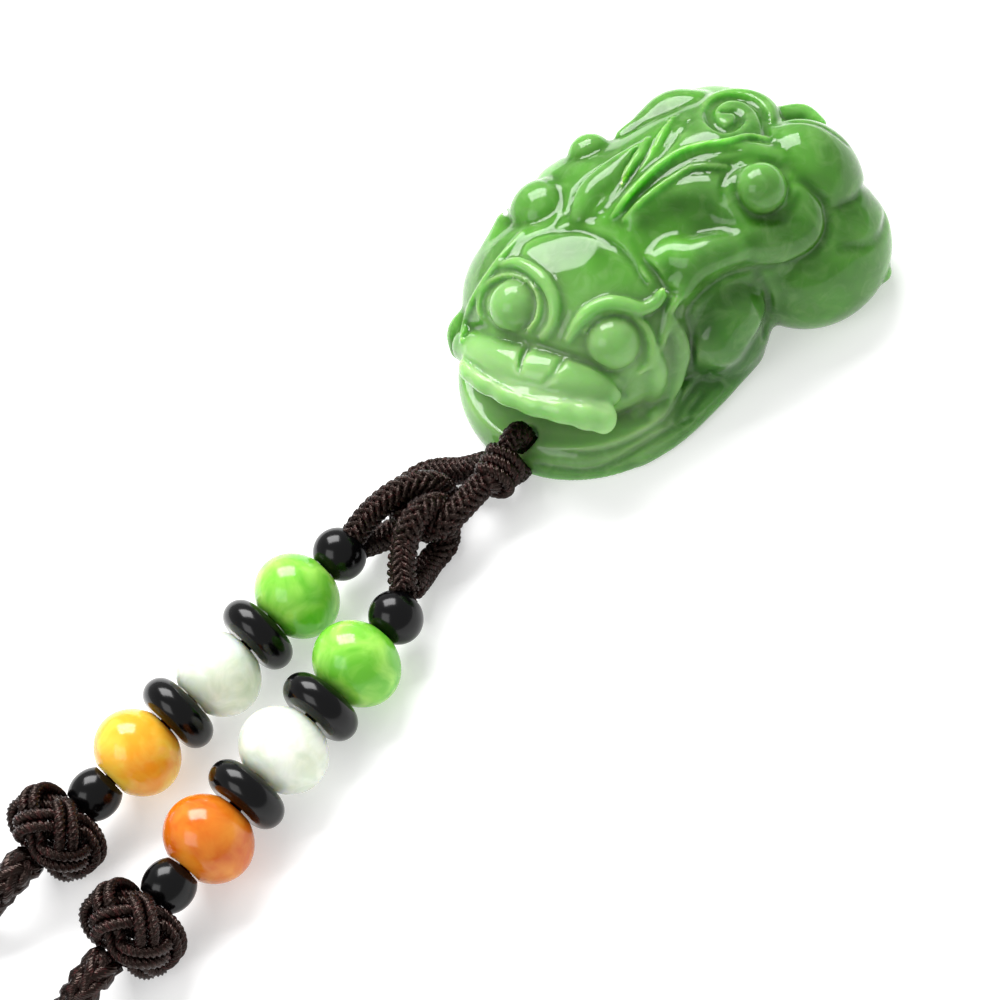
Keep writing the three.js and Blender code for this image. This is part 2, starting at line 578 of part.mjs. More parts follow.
function buttonKnotGeometry() {
  const cord = buttonCordDiameter / 2;
  const middle = buttonKnotDiameter / 2 - 1.6 * cord;
  const stretch = buttonKnotLength / buttonKnotDiameter;
  const points = [];
  const count = 96;
  for (let i = 0; i < count; i += 1) {
    const t = i * 2 * Math.PI / count;
    const latitude = 1.0 * Math.sin(5 * t);
    const radius = middle - 0.55 * cord * Math.sin(10 * t);
    points.push({
      x: radius * Math.cos(latitude) * Math.cos(3 * t),
      y: radius * Math.sin(latitude) * stretch,
      z: radius * Math.cos(latitude) * Math.sin(3 * t),
      r: cord,
    });
  }
  points.push(points[0]);
  const half = buttonKnotLength / 2;
  const field = (x, y, z) => {
    const core = ovalDistance(x, y, z, [0, 0, 0], [middle + 0.3 * cord, half - 0.8 * cord, middle + 0.3 * cord]);
    return softUnion(core, chainDistance(x, y, z, points), 0.3);
  };
  const reach = buttonKnotDiameter / 2 + 1.5;
  const knot = fieldSurface(field, [-reach, -reach, -reach], [reach, reach, reach], knotStep);
  const bore = new THREE.CylinderGeometry(beadBore / 2, beadBore / 2, buttonKnotLength, 12);
  bore.translate(0, -buttonKnotLength / 2, 0);
  return fromSolid(toSolid(knot).subtract(toSolid(bore)));
}

// Cords are round tubes along a smooth curve

function cordGeometry(points, diameter, steps, sides = 8) {
  const section = new THREE.Shape();
  for (let i = 0; i < sides; i += 1) {
    const turn = i * 2 * Math.PI / sides;
    const x = (diameter / 2) * Math.cos(turn);
    const y = (diameter / 2) * Math.sin(turn);
    if (i === 0) section.moveTo(x, y);
    else section.lineTo(x, y);
  }
  section.closePath();
  const extrudePath = new THREE.CatmullRomCurve3(points.map((p) => new THREE.Vector3(...p)), false, 'centripetal');
  return new THREE.ExtrudeGeometry(section, { steps, extrudePath, bevelEnabled: false });
}

// One strand: seven beads and a button knot threaded in a row that rises a little, so that
// the thicker knot lies on the table too. It returns the first points of the cord beyond.

function addStrand(side, start, headingDegrees, lastBead, lastMaterial) {
  const turn = THREE.MathUtils.degToRad(headingDegrees);
  const origin = new THREE.Vector3(start[0], start[1], beadDiameter / 2);
  const row = [
    ['black_round', 'round', blackStone],
    ['green_bead', 'large', greenStone],
    ['black_disc_1', 'disc', blackStone],
    ['white_bead', 'large', whiteStone],
    ['black_disc_2', 'disc', blackStone],
    [lastBead, 'large', lastMaterial],
    ['black_barrel', 'barrel', blackStone],
  ];
  const rowLength = row.reduce((sum, [, type]) => sum + beadTypes[type].length + beadGap, 0);
  const rise = (buttonKnotDiameter - beadDiameter) / 2 / rowLength;
  const heading = new THREE.Vector3(Math.cos(turn), Math.sin(turn), rise).normalize();
  let along = 0;
  for (const [name, type, material] of row) {
    const { length, profile, sides } = beadTypes[type];
    const bead = addMesh(`${side}_${name}`, new THREE.LatheGeometry(profile, sides), material);
    turnAlong(bead, origin.clone().addScaledVector(heading, along + length / 2), heading);
    along += length + beadGap;
  }
  const threadLength = along + buttonKnotLength / 2 - meetingGap;
  const thread = new THREE.CylinderGeometry(threadDiameter / 2, threadDiameter / 2, threadLength, 10);
  turnAlong(addMesh(`${side}_thread`, thread, brownCord), origin.clone().addScaledVector(heading, threadLength / 2), heading);
  const knot = addMesh(`${side}_button_knot`, buttonKnotGeometry(), brownCord);
  turnAlong(knot, origin.clone().addScaledVector(heading, along + buttonKnotLength / 2), heading);
  const leadOut = [meetingGap, braidDiameter].map((out) => (
    origin.clone().addScaledVector(heading, along + buttonKnotLength + out).toArray()
  ));
  return leadOut;
}

// The beast
addMesh('jade_pixiu', pixiuGeometry(), greenJade);

// The strands. The round bead of each starts at its eye loop.
const leftEnd = addStrand('left', [9.0, -37.0], -69.5, 'amber_bead', amberStone);
const rightEnd = addStrand('right', [18.4, -35.0], -63.6, 'orange_bead', orangeStone);

// The short cord through the jaw, its wrap knot and its long loop
const holeToKnot = new THREE.Vector2(wrapKnotCentre[0] - cordHole[0], wrapKnotCentre[1] - cordHole[1]).normalize();
const holeLoopProfile = [
  [1.9, jawThickness + 1.35], [1.0, jawThickness + 1.4], [0.15, jawThickness + 0.7], [0, 3.2], [0.1, 2.0],
  [0.8, 1.15], [1.9, 1.1], [3.0, 1.2],
];
const holeLoopPath = holeLoopProfile.map(([out, z]) => [cordHole[0] + holeToKnot.x * out, cordHole[1] + holeToKnot.y * out, z]);
addMesh('hole_loop', cordGeometry(holeLoopPath, holeLoopDiameter, 14), brownCord);

function addWrapKnot() {
  const half = wrapKnotLength / 2;
  const radius = wrapKnotDiameter / 2;
  const turns = 3;
  const points = [new THREE.Vector2(0, -half)];
  const pitch = wrapKnotLength / turns;
  for (let turn = 0; turn < turns; turn += 1) {
    for (const [r, share] of [[0.82, 0], [0.96, 0.2], [1, 0.5], [0.96, 0.8]]) {
      points.push(new THREE.Vector2(radius * r, -half + (turn + share) * pitch));
    }
  }
  points.push(new THREE.Vector2(radius * 0.82, half));
  points.push(new THREE.Vector2(0, half));
  const knot = addMesh('wrap_knot', new THREE.LatheGeometry(points, 10), brownCord);
  turnAlong(knot, new THREE.Vector3(...wrapKnotCentre), new THREE.Vector3(holeToKnot.x, holeToKnot.y, 0));
}
addWrapKnot();

const linkLoopPath = [
  [7.6, -23.5, 2.5], [6.5, -24.5, 2.1], [5.4, -26.0, 1.7], [4.5, -27.6, 1.6], [4.1, -29.4, 1.6],
  [4.8, -31.0, 2.1], [6.0, -32.0, 2.8], [7.6, -32.3, 3.7], [9.3, -32.7, 3.8], [10.8, -32.1, 3.0],
  [12.2, -31.0, 3.3], [12.6, -29.4, 4.0], [12.1, -27.6, 4.2], [11.5, -25.8, 4.3], [11.3, -25.2, 4.3],
];
const leftEyeLoopPath = [
  [8.4, -36.6, 5.5], [7.5, -35.4, 5.1], [6.3, -34.1, 5.3], [5.6, -32.6, 5.7], [5.6, -30.9, 5.3],
  [6.2, -29.7, 4.3], [7.0, -29.4, 2.8], [7.8, -30.2, 1.7], [8.4, -31.7, 1.25], [8.4, -33.4, 1.3],
  [8.8, -34.9, 1.6], [9.4, -36.3, 2.3],
];
const rightEyeLoopPath = [
  [17.7, -34.2, 5.6], [15.7, -34.4, 5.0], [14.0, -34.1, 4.9], [12.4, -32.9, 5.4], [11.1, -31.6, 5.8],
  [10.1, -30.2, 4.9], [9.9, -29.3, 3.3], [10.9, -29.0, 1.9], [12.6, -29.2, 1.25], [14.2, -30.1, 1.4],
  [15.6, -31.6, 1.6], [16.8, -32.8, 2.0], [17.8, -33.8, 2.6],
];
addMesh('link_loop', cordGeometry(linkLoopPath, loopCordDiameter, 18), brownCord);
addMesh('left_eye_loop', cordGeometry(leftEyeLoopPath, loopCordDiameter, 16), brownCord);
addMesh('right_eye_loop', cordGeometry(rightEyeLoopPath, loopCordDiameter, 16), brownCord);

// The braided neck cord: a run from each knot to one coil that lies beyond the beads
const coilCentre = [24, -116];
const leftRunPath = [
  ...leftEnd, [24.6, -84.0, 2.2], [24.6, -87.0, 1.85], [22.6, -89.2, 1.85],
];
const rightRunPath = [
  ...rightEnd, [38.3, -78.0, 2.3], [38.2, -82.0, 1.85], [38.2, -86.0, 2.05], [38.8, -90.4, 3.0],
];
addMesh('neck_cord_left', cordGeometry(leftRunPath, braidDiameter, 6), brownCord);
addMesh('neck_cord_right', cordGeometry(rightRunPath, braidDiameter, 6), brownCord);

function coilGeometry() {
  const inside = coilMeanDiameter / 2 - coilTurnsBeside * braidDiameter / 2;
  const outside = coilMeanDiameter / 2 + coilTurnsBeside * braidDiameter / 2;
  const top = braidDiameter * (1 + Math.sqrt(3) / 2);
  const points = [
    [inside, 0], [outside, 0], [outside, braidDiameter * 0.7], [outside - braidDiameter / 2, top],
    [inside + braidDiameter / 2, top], [inside, braidDiameter * 0.7], [inside, 0],
  ];
  return new THREE.LatheGeometry(points.map(([x, y]) => new THREE.Vector2(x, y)), 28).rotateX(Math.PI / 2);
}
addMesh('neck_cord_coil', coilGeometry(), brownCord).position.set(coilCentre[0], coilCentre[1], 0);

// The whole is moved so that the origin is under the middle of the beast
const beast = model.getObjectByName('jade_pixiu');
beast.geometry.computeBoundingBox();
const footprint = beast.geometry.boundingBox.getCenter(new THREE.Vector3());
const pendant = new THREE.Group();
model.position.set(-footprint.x, -footprint.y, 0);
pendant.add(model);

export default pendant;
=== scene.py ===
"""Jade pixiu pendant with two beaded strands and a braided neck cord, lying on a table.

Shapes are worked out in millimetres in the carver's own frame, where the beast faces -Y, and are
moved into the frame of the solid model when each mesh is made.
"""
import math

import bpy
import numpy as np
from mathutils import Matrix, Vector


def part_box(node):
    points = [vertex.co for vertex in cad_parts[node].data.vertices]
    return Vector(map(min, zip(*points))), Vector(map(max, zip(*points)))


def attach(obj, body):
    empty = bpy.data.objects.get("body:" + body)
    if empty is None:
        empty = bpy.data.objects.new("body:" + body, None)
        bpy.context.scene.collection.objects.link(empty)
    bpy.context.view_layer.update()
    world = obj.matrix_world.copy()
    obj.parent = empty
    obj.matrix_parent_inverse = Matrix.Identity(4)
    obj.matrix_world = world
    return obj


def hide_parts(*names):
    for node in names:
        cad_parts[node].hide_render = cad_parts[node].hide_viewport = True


bl_info = {
    "name": "Jade pixiu pendant",
    "version": (1, 0, 0),
    "blender": (4, 5, 0),
    "location": "3D View > Sidebar > Pendant",
    "description": "A carved jade beast on a braided cord with stone beads",
    "category": "Add Mesh",
}

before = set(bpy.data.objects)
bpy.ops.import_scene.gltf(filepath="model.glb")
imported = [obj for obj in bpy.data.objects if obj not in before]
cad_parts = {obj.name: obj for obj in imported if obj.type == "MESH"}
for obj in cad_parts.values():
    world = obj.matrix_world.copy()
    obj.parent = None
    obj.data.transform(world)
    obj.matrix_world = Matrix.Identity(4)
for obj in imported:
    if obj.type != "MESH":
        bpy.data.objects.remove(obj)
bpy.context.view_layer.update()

MM = 0.001
COIL_CENTRE = (24.0, -116.0)


def model_offset():
    """Where the carver's frame lies in the model's frame, in metres, found from the coil."""
    low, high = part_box("neck_cord_coil")
    return np.array([(low[0] + high[0]) / 2 - COIL_CENTRE[0] * MM,
                     (low[1] + high[1]) / 2 - COIL_CENTRE[1] * MM, 0.0])


OFFSET = model_offset()


# Sizes and colours that a user would change

def length_property(name, text, millimetres):
    """A length in the panel, given in millimetres."""
    return bpy.props.FloatProperty(name=name, description=text, default=millimetres * MM, unit="LENGTH")


class PendantSizes(bpy.types.PropertyGroup):
    carving_step: length_property("Carving step", "Spacing of the carving's grid", 0.22)
    bead_diameter: length_property("Bead diameter", "Large stone beads", 8.5)
    bead_length: length_property("Bead length", "Large stone beads along the thread", 6.7)
    disc_diameter: length_property("Disc diameter", "Black discs", 7.8)
    disc_length: length_property("Disc length", "Black discs along the thread", 3.2)
    round_diameter: length_property("Round bead diameter", "Small black beads", 5.2)
    round_length: length_property("Round bead length", "Small black beads along the thread", 4.2)
    barrel_diameter: length_property("Barrel diameter", "Black barrels", 4.8)
    barrel_length: length_property("Barrel length", "Black barrels along the thread", 3.6)
    bead_bore: length_property("Bore", "Hole through every bead", 2.0)
    thread_diameter: length_property("Thread diameter", "Twisted thread through the beads", 1.4)
    loop_diameter: length_property("Loop diameter", "Braided loops above the beads", 2.8)
    hole_loop_diameter: length_property("Hole loop diameter", "Cord through the jaw", 2.3)
    knot_diameter: length_property("Button knot diameter", "Across the woven knot", 9.6)
    knot_length: length_property("Button knot length", "Along the strand", 5.6)
    knot_cord_diameter: length_property("Knot cord diameter", "Thin cord of the knots", 1.12)
    braid_diameter: length_property("Neck cord diameter", "Braided neck cord", 3.6)


def colour_property(name, text, code):
    """A colour in the panel, given as a hex code."""
    return bpy.props.FloatVectorProperty(
        name=name, description=text, subtype="COLOR", size=3, min=0.0, max=1.0, default=linear(code))


def linear(code):
    """The linear colour of an sRGB hex value."""
    shares = [int(code[i:i + 2], 16) / 255 for i in (1, 3, 5)]
    return tuple(s / 12.92 if s <= 0.04045 else ((s + 0.055) / 1.055) ** 2.4 for s in shares)


class PendantColours(bpy.types.PropertyGroup):
    jade: colour_property("Jade", "Middle green of the carving", "#3d7020")
    jade_pale: colour_property("Pale jade", "Milky green of the lips", "#92b87a")
    # Painted shade: this darker green is laid into the hollows and shaded places of the carving
    jade_in_shade: colour_property("Deep jade", "Green of the hollows", "#2c5a1e")
    green_stone: colour_property("Green stone", "Green beads", "#6cbc34")
    white_stone: colour_property("White stone", "Pale beads", "#d6e0ce")
    amber_stone: colour_property("Amber stone", "Yellow bead", "#f2a82a")
    orange_stone: colour_property("Orange stone", "Orange bead", "#c8650e")
    black_stone: colour_property("Black stone", "Black beads", "#040405")
    cord: colour_property("Cord", "Dark maroon cord", "#0b0403")
    # Painted highlight: this lighter colour is laid into the cord's colour where threads would catch the
    # light
    cord_glint: colour_property("Cord glint", "Threads that catch the light", "#4e2022")


# Materials. A mix node's colour sockets go by number, because their names stand there once for each type.

SHARE, FIRST, SECOND, MIXED = 0, 6, 7, 2


def add_node(tree, kind, settings, links):
    """Adds a shader node. Settings go to sockets or attributes, and links to sockets, by name or number."""
    node = tree.nodes.new("ShaderNode" + kind)
    for key, value in settings.items():
        if isinstance(key, int) or key in node.inputs:
            node.inputs[key].default_value = value
        else:
            setattr(node, key, value)
    for key, source in links.items():
        tree.links.new(source, node.inputs[key])
    return node


def new_material(name):
    """A material with an empty node tree."""
    material = bpy.data.materials.new(name)
    material.use_nodes = True
    tree = material.node_tree
    tree.nodes.clear()
    return material, tree


def polished_jade(colours):
    """Jadeite, carved, ground and polished: cloudy green that lets light in at its edges."""
    cloud_size, cloud_gain = 7.0 * MM, 1.8
    vein_size, vein_strength = 2.2 * MM, 0.2
    glow_reach = 4.5 * MM
    bright, deep, pale = ((*c, 1.0) for c in (
        [cloud_gain * c for c in colours.jade], colours.jade_in_shade, colours.jade_pale))
    material, tree = new_material("polished_jadeite")
    place = add_node(tree, "TexCoord", {}, {})
    clouds = add_node(tree, "TexNoise", {"Scale": 1 / cloud_size, "Detail": 3.0, "Roughness": 0.55},
                      {"Vector": place.outputs["Object"]})
    share = add_node(tree, "MapRange", {"From Min": 0.36, "From Max": 0.62},
                     {"Value": clouds.outputs["Fac"]})
    colour = add_node(tree, "Mix", {"data_type": "RGBA", FIRST: (*colours.jade, 1.0), SECOND: bright},
                      {SHARE: share.outputs[0]})
    painted_shade_place = add_node(tree, "Attribute", {"attribute_name": "hollow"}, {})
    pale_and_lit_place = add_node(tree, "Attribute", {"attribute_name": "pale"}, {})
    veins = add_node(tree, "TexNoise", {"Scale": 1 / vein_size, "Detail": 4.0, "Distortion": 1.2},
                     {"Vector": place.outputs["Object"]})
    vein_share = add_node(tree, "MapRange", {"From Min": 0.48, "From Max": 0.72, "To Max": vein_strength},
                          {"Value": veins.outputs["Fac"]})
    # Painted shade: the shaded green is laid on by the 'hollow' share. The 'pale' share lays on the milky
    # lips and face, and painted light on domes and on the jaw plate under the muzzle. The veins are the
    # stone's own.
    for amount, laid_on in ((painted_shade_place.outputs["Fac"], deep), (pale_and_lit_place.outputs["Fac"], pale),
                            (vein_share.outputs[0], pale)):
        colour = add_node(tree, "Mix", {"data_type": "RGBA", SECOND: laid_on},
                          {SHARE: amount, FIRST: colour.outputs[MIXED]})
    shader = add_node(tree, "BsdfPrincipled", {
        "Roughness": 0.08, "IOR": 1.66, "Specular IOR Level": 0.2, "Subsurface Weight": 1.0,
        "Subsurface Scale": glow_reach, "Subsurface Radius": (0.45, 1.0, 0.22)},
        {"Base Color": colour.outputs[MIXED]})
    add_node(tree, "OutputMaterial", {}, {"Surface": shader.outputs[0]})
    return material


def cloudy_stone(name, colour, pale, cloud_size, glow_reach):
    """Chalcedony, cut and tumbled to a gloss: cloudy, and light spreads inside it."""
    material, tree = new_material(name)
    place = add_node(tree, "TexCoord", {}, {})
    clouds = add_node(tree, "TexNoise", {"Scale": 1 / cloud_size, "Detail": 4.0, "Distortion": 0.8},
                      {"Vector": place.outputs["Object"]})
    share = add_node(tree, "MapRange", {"From Min": 0.4, "From Max": 0.68},
                     {"Value": clouds.outputs["Fac"]})
    cloudy = add_node(tree, "Mix", {"data_type": "RGBA", FIRST: (*colour, 1.0), SECOND: (*pale, 1.0)},
                      {SHARE: share.outputs[0]})
    shader = add_node(tree, "BsdfPrincipled", {
        "Roughness": 0.15, "IOR": 1.54, "Specular IOR Level": 0.35, "Subsurface Weight": 1.0,
        "Subsurface Scale": glow_reach, "Subsurface Radius": (1.0, 0.8, 0.5)},
        {"Base Color": cloudy.outputs[MIXED]})
    add_node(tree, "OutputMaterial", {}, {"Surface": shader.outputs[0]})
    return material


def black_onyx(colours):
    """Onyx, turned and polished: black with clear reflections."""
    material, tree = new_material("polished_onyx")
    shader = add_node(tree, "BsdfPrincipled", {
        "Base Color": (*colours.black_stone, 1.0), "Roughness": 0.17, "IOR": 1.54,
        "Specular IOR Level": 0.24}, {})
    add_node(tree, "OutputMaterial", {}, {"Surface": shader.outputs[0]})
    return material


def waxed_cord(colours):
    """Waxed polyester cord, twisted from fine filaments: dark, with reddish glints on each ply from its
    gloss, and painted glints of a lighter colour on sparse patches.
    """
    # The filaments are about 0.05 mm, and are drawn four times as coarse to show
    filament, patch = 0.2 * MM, 0.7 * MM
    # At a scale of 1 the wave node's bands lie this far apart
    band_step = 2 * math.pi / 20
    material, tree = new_material("waxed_polyester_cord")
    place = add_node(tree, "UVMap", {"uv_map": "along"}, {})
    slanted = add_node(tree, "Mapping", {"Rotation": (0.0, 0.0, math.radians(40))},
                       {"Vector": place.outputs["UV"]})
    fibres = add_node(tree, "TexWave", {"Scale": band_step / filament, "Distortion": 3.0, "Detail": 2.0},
                      {"Vector": slanted.outputs["Vector"]})
    patches = add_node(tree, "TexNoise", {"Scale": 1 / patch, "Detail": 2.0},
                       {"Vector": place.outputs["UV"]})
    sparse = add_node(tree, "MapRange", {"From Min": 0.52, "From Max": 0.75},
                      {"Value": patches.outputs["Fac"]})
    share = add_node(tree, "Math", {"operation": "MULTIPLY"},
                     {0: fibres.outputs["Fac"], 1: sparse.outputs[0]})
    bump = add_node(tree, "Bump", {"Strength": 0.6, "Distance": 0.2 * filament},
                    {"Height": fibres.outputs["Fac"]})
    # Painted highlight: the glint colour is laid into the dyed cord's colour on sparse patches of fibres
    dye_and_glint = add_node(tree, "Mix", {
        "data_type": "RGBA", FIRST: (*colours.cord, 1.0), SECOND: (*colours.cord_glint, 1.0)},
        {SHARE: share.outputs[0]})
    shader = add_node(tree, "BsdfPrincipled", {
        "Roughness": 0.2, "IOR": 1.5, "Specular IOR Level": 0.36, "Specular Tint": (1.0, 0.72, 0.62, 1.0)},
        {"Base Color": dye_and_glint.outputs[MIXED], "Normal": bump.outputs["Normal"]})
    add_node(tree, "OutputMaterial", {}, {"Surface": shader.outputs[0]})
    return material


def glowing_card(code, glow):
    """Coated white card lit from behind: plain and even, with soft pale shadows."""
    material, tree = new_material("white_card")
    shader = add_node(tree, "BsdfPrincipled", {
        "Base Color": (*linear(code), 1.0), "Roughness": 0.8, "Specular IOR Level": 0.1,
        "Emission Color": (1.0, 1.0, 1.0, 1.0), "Emission Strength": glow}, {})
    add_node(tree, "OutputMaterial", {}, {"Surface": shader.outputs[0]})
    return material


# Meshes

def add_piece(name, points, faces, material, replaced, uv=None):
    """Makes a smooth mesh from points in the carver's millimetres and puts it on the root body."""
    mesh = bpy.data.meshes.new(name)
    faces = np.asarray(faces, np.int32)
    corners = faces.shape[1]
    mesh.vertices.add(len(points))
    mesh.vertices.foreach_set("co", (np.asarray(points) * MM + OFFSET).astype(np.float32).ravel())
    mesh.loops.add(faces.size)
    mesh.loops.foreach_set("vertex_index", faces.ravel())
    mesh.polygons.add(len(faces))
    mesh.polygons.foreach_set("loop_start", np.arange(0, faces.size, corners, dtype=np.int32))
    mesh.polygons.foreach_set("use_smooth", np.ones(len(faces), bool))
    if uv is not None:
        layer = mesh.uv_layers.new(name="along")
        layer.data.foreach_set("uv", np.asarray(uv, np.float32)[faces.ravel()].ravel())
    mesh.update(calc_edges=True)
    mesh.validate()
    mesh.materials.append(material)
    piece = bpy.data.objects.new(name, mesh)
    bpy.context.scene.collection.objects.link(piece)
    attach(piece, "root")
    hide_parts(*replaced)
    return piece


def add_cord(name, mesh, *nodes):
    """A piece of waxed cord that stands for nodes of the solid model."""
    points, faces, uv = mesh
    material = bpy.data.materials["waxed_polyester_cord"]
    return add_piece(name, points, faces, material, nodes, uv)


def smooth_line(points, between):
    """A Catmull-Rom line through the points, with so many steps between each two."""
    points = np.asarray(points, float)
    if len(points) < 3:
        return points
    ends = np.vstack([2 * points[0] - points[1], points, 2 * points[-1] - points[-2]])
    line = []
    for i in range(1, len(ends) - 2):
        a, b, c, d = ends[i - 1:i + 3]
        for t in np.arange(between) / between:
            line.append(0.5 * (2 * b + (c - a) * t + (2 * a - 5 * b + 4 * c - d) * t * t
                               + (3 * b - a - 3 * c + d) * t ** 3))
    line.append(ends[-2])
    return np.array(line)


def spaced(line, step):
    """The same line with points a step apart."""
    lengths = np.concatenate([[0], np.cumsum(np.linalg.norm(np.diff(line, axis=0), axis=1))])
    places = np.linspace(0, lengths[-1], max(2, round(lengths[-1] / step) + 1))
    return np.stack([np.interp(places, lengths, line[:, i]) for i in range(3)], axis=1)


def travelling_axes(line):
    """At each point of a line, two axes across it that turn as little as possible."""
    ahead = np.gradient(line, axis=0)
    ahead /= np.linalg.norm(ahead, axis=1)[:, None]
    across = np.empty_like(line)
    side = np.cross(ahead[0], (0.0, 0.0, 1.0))
    if np.linalg.norm(side) < 0.1:
        side = np.cross(ahead[0], (1.0, 0.0, 0.0))
    for i, direction in enumerate(ahead):
        side = side - direction * (side @ direction)
        side /= np.linalg.norm(side)
        across[i] = side
    return ahead, across, np.cross(ahead, across)


def ring_faces(count, sides, closed):
    """Four-sided faces between rings of points, round to the first ring again if closed."""
    spans = count if closed else count - 1
    first = np.arange(spans)[:, None] * sides
    second = (np.arange(1, spans + 1) % count)[:, None] * sides
    this = np.arange(sides)[None, :]
    following = (this + 1) % sides
    corners = [first + this, first + following, second + following, second + this]
    return np.stack(corners, axis=-1).reshape(-1, 4)


def tube_mesh(line, radius, sides, lobes=0, lobe_depth=0.0, twist_pitch=1.0, closed=False):
    """Points, four-sided faces and UVs of a tube, with a lobed section that twists if asked.
    The radius is one number, or one for each point of the line."""
    _, across, other = travelling_axes(line)
    steps = np.linalg.norm(np.diff(line, axis=0), axis=1)
    travelled = np.concatenate([[0], np.cumsum(steps)])
    turn = 2 * math.pi * travelled / twist_pitch
    if closed:
        total = travelled[-1] + np.linalg.norm(line[0] - line[-1])
        slip = math.atan2(across[0] @ other[-1], across[0] @ across[-1])
        turn = (2 * math.pi * round(total / twist_pitch) + slip) * travelled / total
    angles = np.arange(sides) * 2 * math.pi / sides
    section = 1 - lobe_depth * (0.5 + 0.5 * np.cos(lobes * angles)) if lobes else np.ones(sides)
    reach = np.reshape(radius, (-1, 1)) * section[None, :]
    spin = angles[None, :] + turn[:, None]
    rings = (line[:, None, :] + reach[:, :, None] * (
        np.cos(spin)[..., None] * across[:, None, :] + np.sin(spin)[..., None] * other[:, None, :]))
    count = len(line)
    faces = ring_faces(count, sides, closed)
    uv = np.stack([np.repeat(travelled * MM, sides), np.tile(angles * np.max(radius) * MM, count)], axis=1)
    points = rings.reshape(-1, 3)
    if not closed:
        points, faces, uv = close_ends(points, faces, uv, line, sides)
    return points, faces, uv


def close_ends(points, faces, uv, line, sides):
    """Closes a tube's ends with pairs of triangles written as four-sided faces round a middle."""
    start, end = len(points), len(points) + 1
    last = (len(line) - 1) * sides
    caps = []
    for i in range(0, sides, 2):
        caps.append((start, (i + 2) % sides, i + 1, i))
        caps.append((end, last + i, last + i + 1, last + (i + 2) % sides))
    points = np.vstack([points, line[:1], line[-1:]])
    uv = np.vstack([uv, uv[:1], uv[-1:]])
    return points, np.vstack([faces, caps]), uv


def joined(parts):
    """Several meshes as one."""
    points, faces, uvs, base = [], [], [], 0
    for p, f, uv in parts:
        points.append(p)
        faces.append(f + base)
        uvs.append(uv)
        base += len(p)
    return np.vstack(points), np.vstack(faces), np.vstack(uvs)


def braid_mesh(line, diameter, strands, pitch, step, sides=6):
    """A round braid. Half its strands wind each way, and each passes over two and under two."""
    line = spaced(np.asarray(line), step)
    _, across, other = travelling_axes(line)
    travelled = np.arange(len(line)) * np.linalg.norm(np.diff(line, axis=0), axis=1).mean()
    each_way = strands // 2
    # The strands run on a circle three quarters as wide as the braid, and are a little wider than their gap
    round_it = 0.75 * math.pi * diameter
    strand_radius = 0.52 * round_it / each_way * math.cos(math.atan(round_it / pitch))
    lift = 0.42 * strand_radius
    middle = diameter / 2 - strand_radius - lift
    turn = 2 * math.pi * travelled / pitch
    parts = [tube_mesh(line, middle, 8)]
    for way in (1, -1):
        for k in range(each_way):
            angle = 2 * math.pi * k / each_way + way * turn
            wave = np.cos(each_way * turn / 2 - way * math.pi / 4 + math.pi * k)
            reach = middle + way * lift * wave
            strand = (line + (reach * np.cos(angle))[:, None] * across
                      + (reach * np.sin(angle))[:, None] * other)
            parts.append(tube_mesh(strand, strand_radius, sides))
    return joined(parts)


# The beast's own form: distances in millimetres, negative inside

def soft_union(a, b, blend):
    """Two forms as one, with a fillet as wide as the blend."""
    h = np.maximum(blend - np.abs(a - b), 0.0) / blend
    return np.minimum(a, b) - h * h * blend * 0.25


def soft_cut(a, b, blend):
    """The first form without the second, with a rounded edge."""
    return -soft_union(-a, b, blend)


def oval(x, y, z, centre, radii, yaw=0.0):
    """About the distance to an ellipsoid, turned round the vertical by degrees."""
    turn = math.radians(yaw)
    dx, dy, dz = x - centre[0], y - centre[1], z - centre[2]
    u = dx * math.cos(turn) + dy * math.sin(turn)
    v = dy * math.cos(turn) - dx * math.sin(turn)
    near = np.sqrt((u / radii[0]) ** 2 + (v / radii[1]) ** 2 + (dz / radii[2]) ** 2) + 1e-9
    slope = np.sqrt((u / radii[0] ** 2) ** 2 + (v / radii[1] ** 2) ** 2 + (dz / radii[2] ** 2) ** 2) + 1e-9
    return near * (near - 1) / slope


HEAD_CENTRE = (4.4, -10.4)
HEAD_TURN = math.radians(33)
JAW_THICKNESS = 4.0
CORD_HOLE = (7.7, -18.6)
CORD_HOLE_DIAMETER = 2.7

# Ovals in the carver's frame: centre, radii, turn in degrees and blend onto the ones before
CHEST = ((-0.4, 1.0, 8.0), (12.4, 11.5, 10.2))
BACK_AND_HAUNCHES = (
    ((-1.2, 8.5, 8.4), (11.4, 9.5, 9.8), 0, 3.0),
    ((-6.0, -3.0, 8.4), (8.0, 8.0, 8.0), 0, 2.0),
    ((2.8, 15.6, 10.0), (5.8, 5.4, 6.8), 0, 1.2),
    ((6.0, 13.4, 5.2), (7.2, 7.8, 7.2), 8, 1.0),
    ((-8.0, 10.4, 7.4), (6.2, 7.2, 8.0), -6, 1.0),
)
FORELEG = ((6.8, 1.6, 4.0), (6.0, 6.0, 5.4))
# Ovals in the head's axes: centre and radii
SKULL = ((-1.6, -3.9, 8.0), (12.2, 9.8, 9.0))
MUZZLE = ((-1.6, 0.0, 6.8), (10.0, 6.6, 4.8))
JAW = ((-1.8, -2.4, 1.2), (13.4, 13.0, 7.2))
MOUTH = ((-1.6, 6.4, 5.4), (8.8, 4.4, 1.4))
# The corners between which the mouth is cut
MOUTH_LOW, MOUTH_HIGH = (-8, -27, 0.5), (20, 1, 9)


def head_axes(x, y):
    """Across the head, from its far to its near side, and ahead to its nose."""
    dx, dy = x - HEAD_CENTRE[0], y - HEAD_CENTRE[1]
    return (dx * math.cos(HEAD_TURN) + dy * math.sin(HEAD_TURN),
            dx * math.sin(HEAD_TURN) - dy * math.cos(HEAD_TURN))


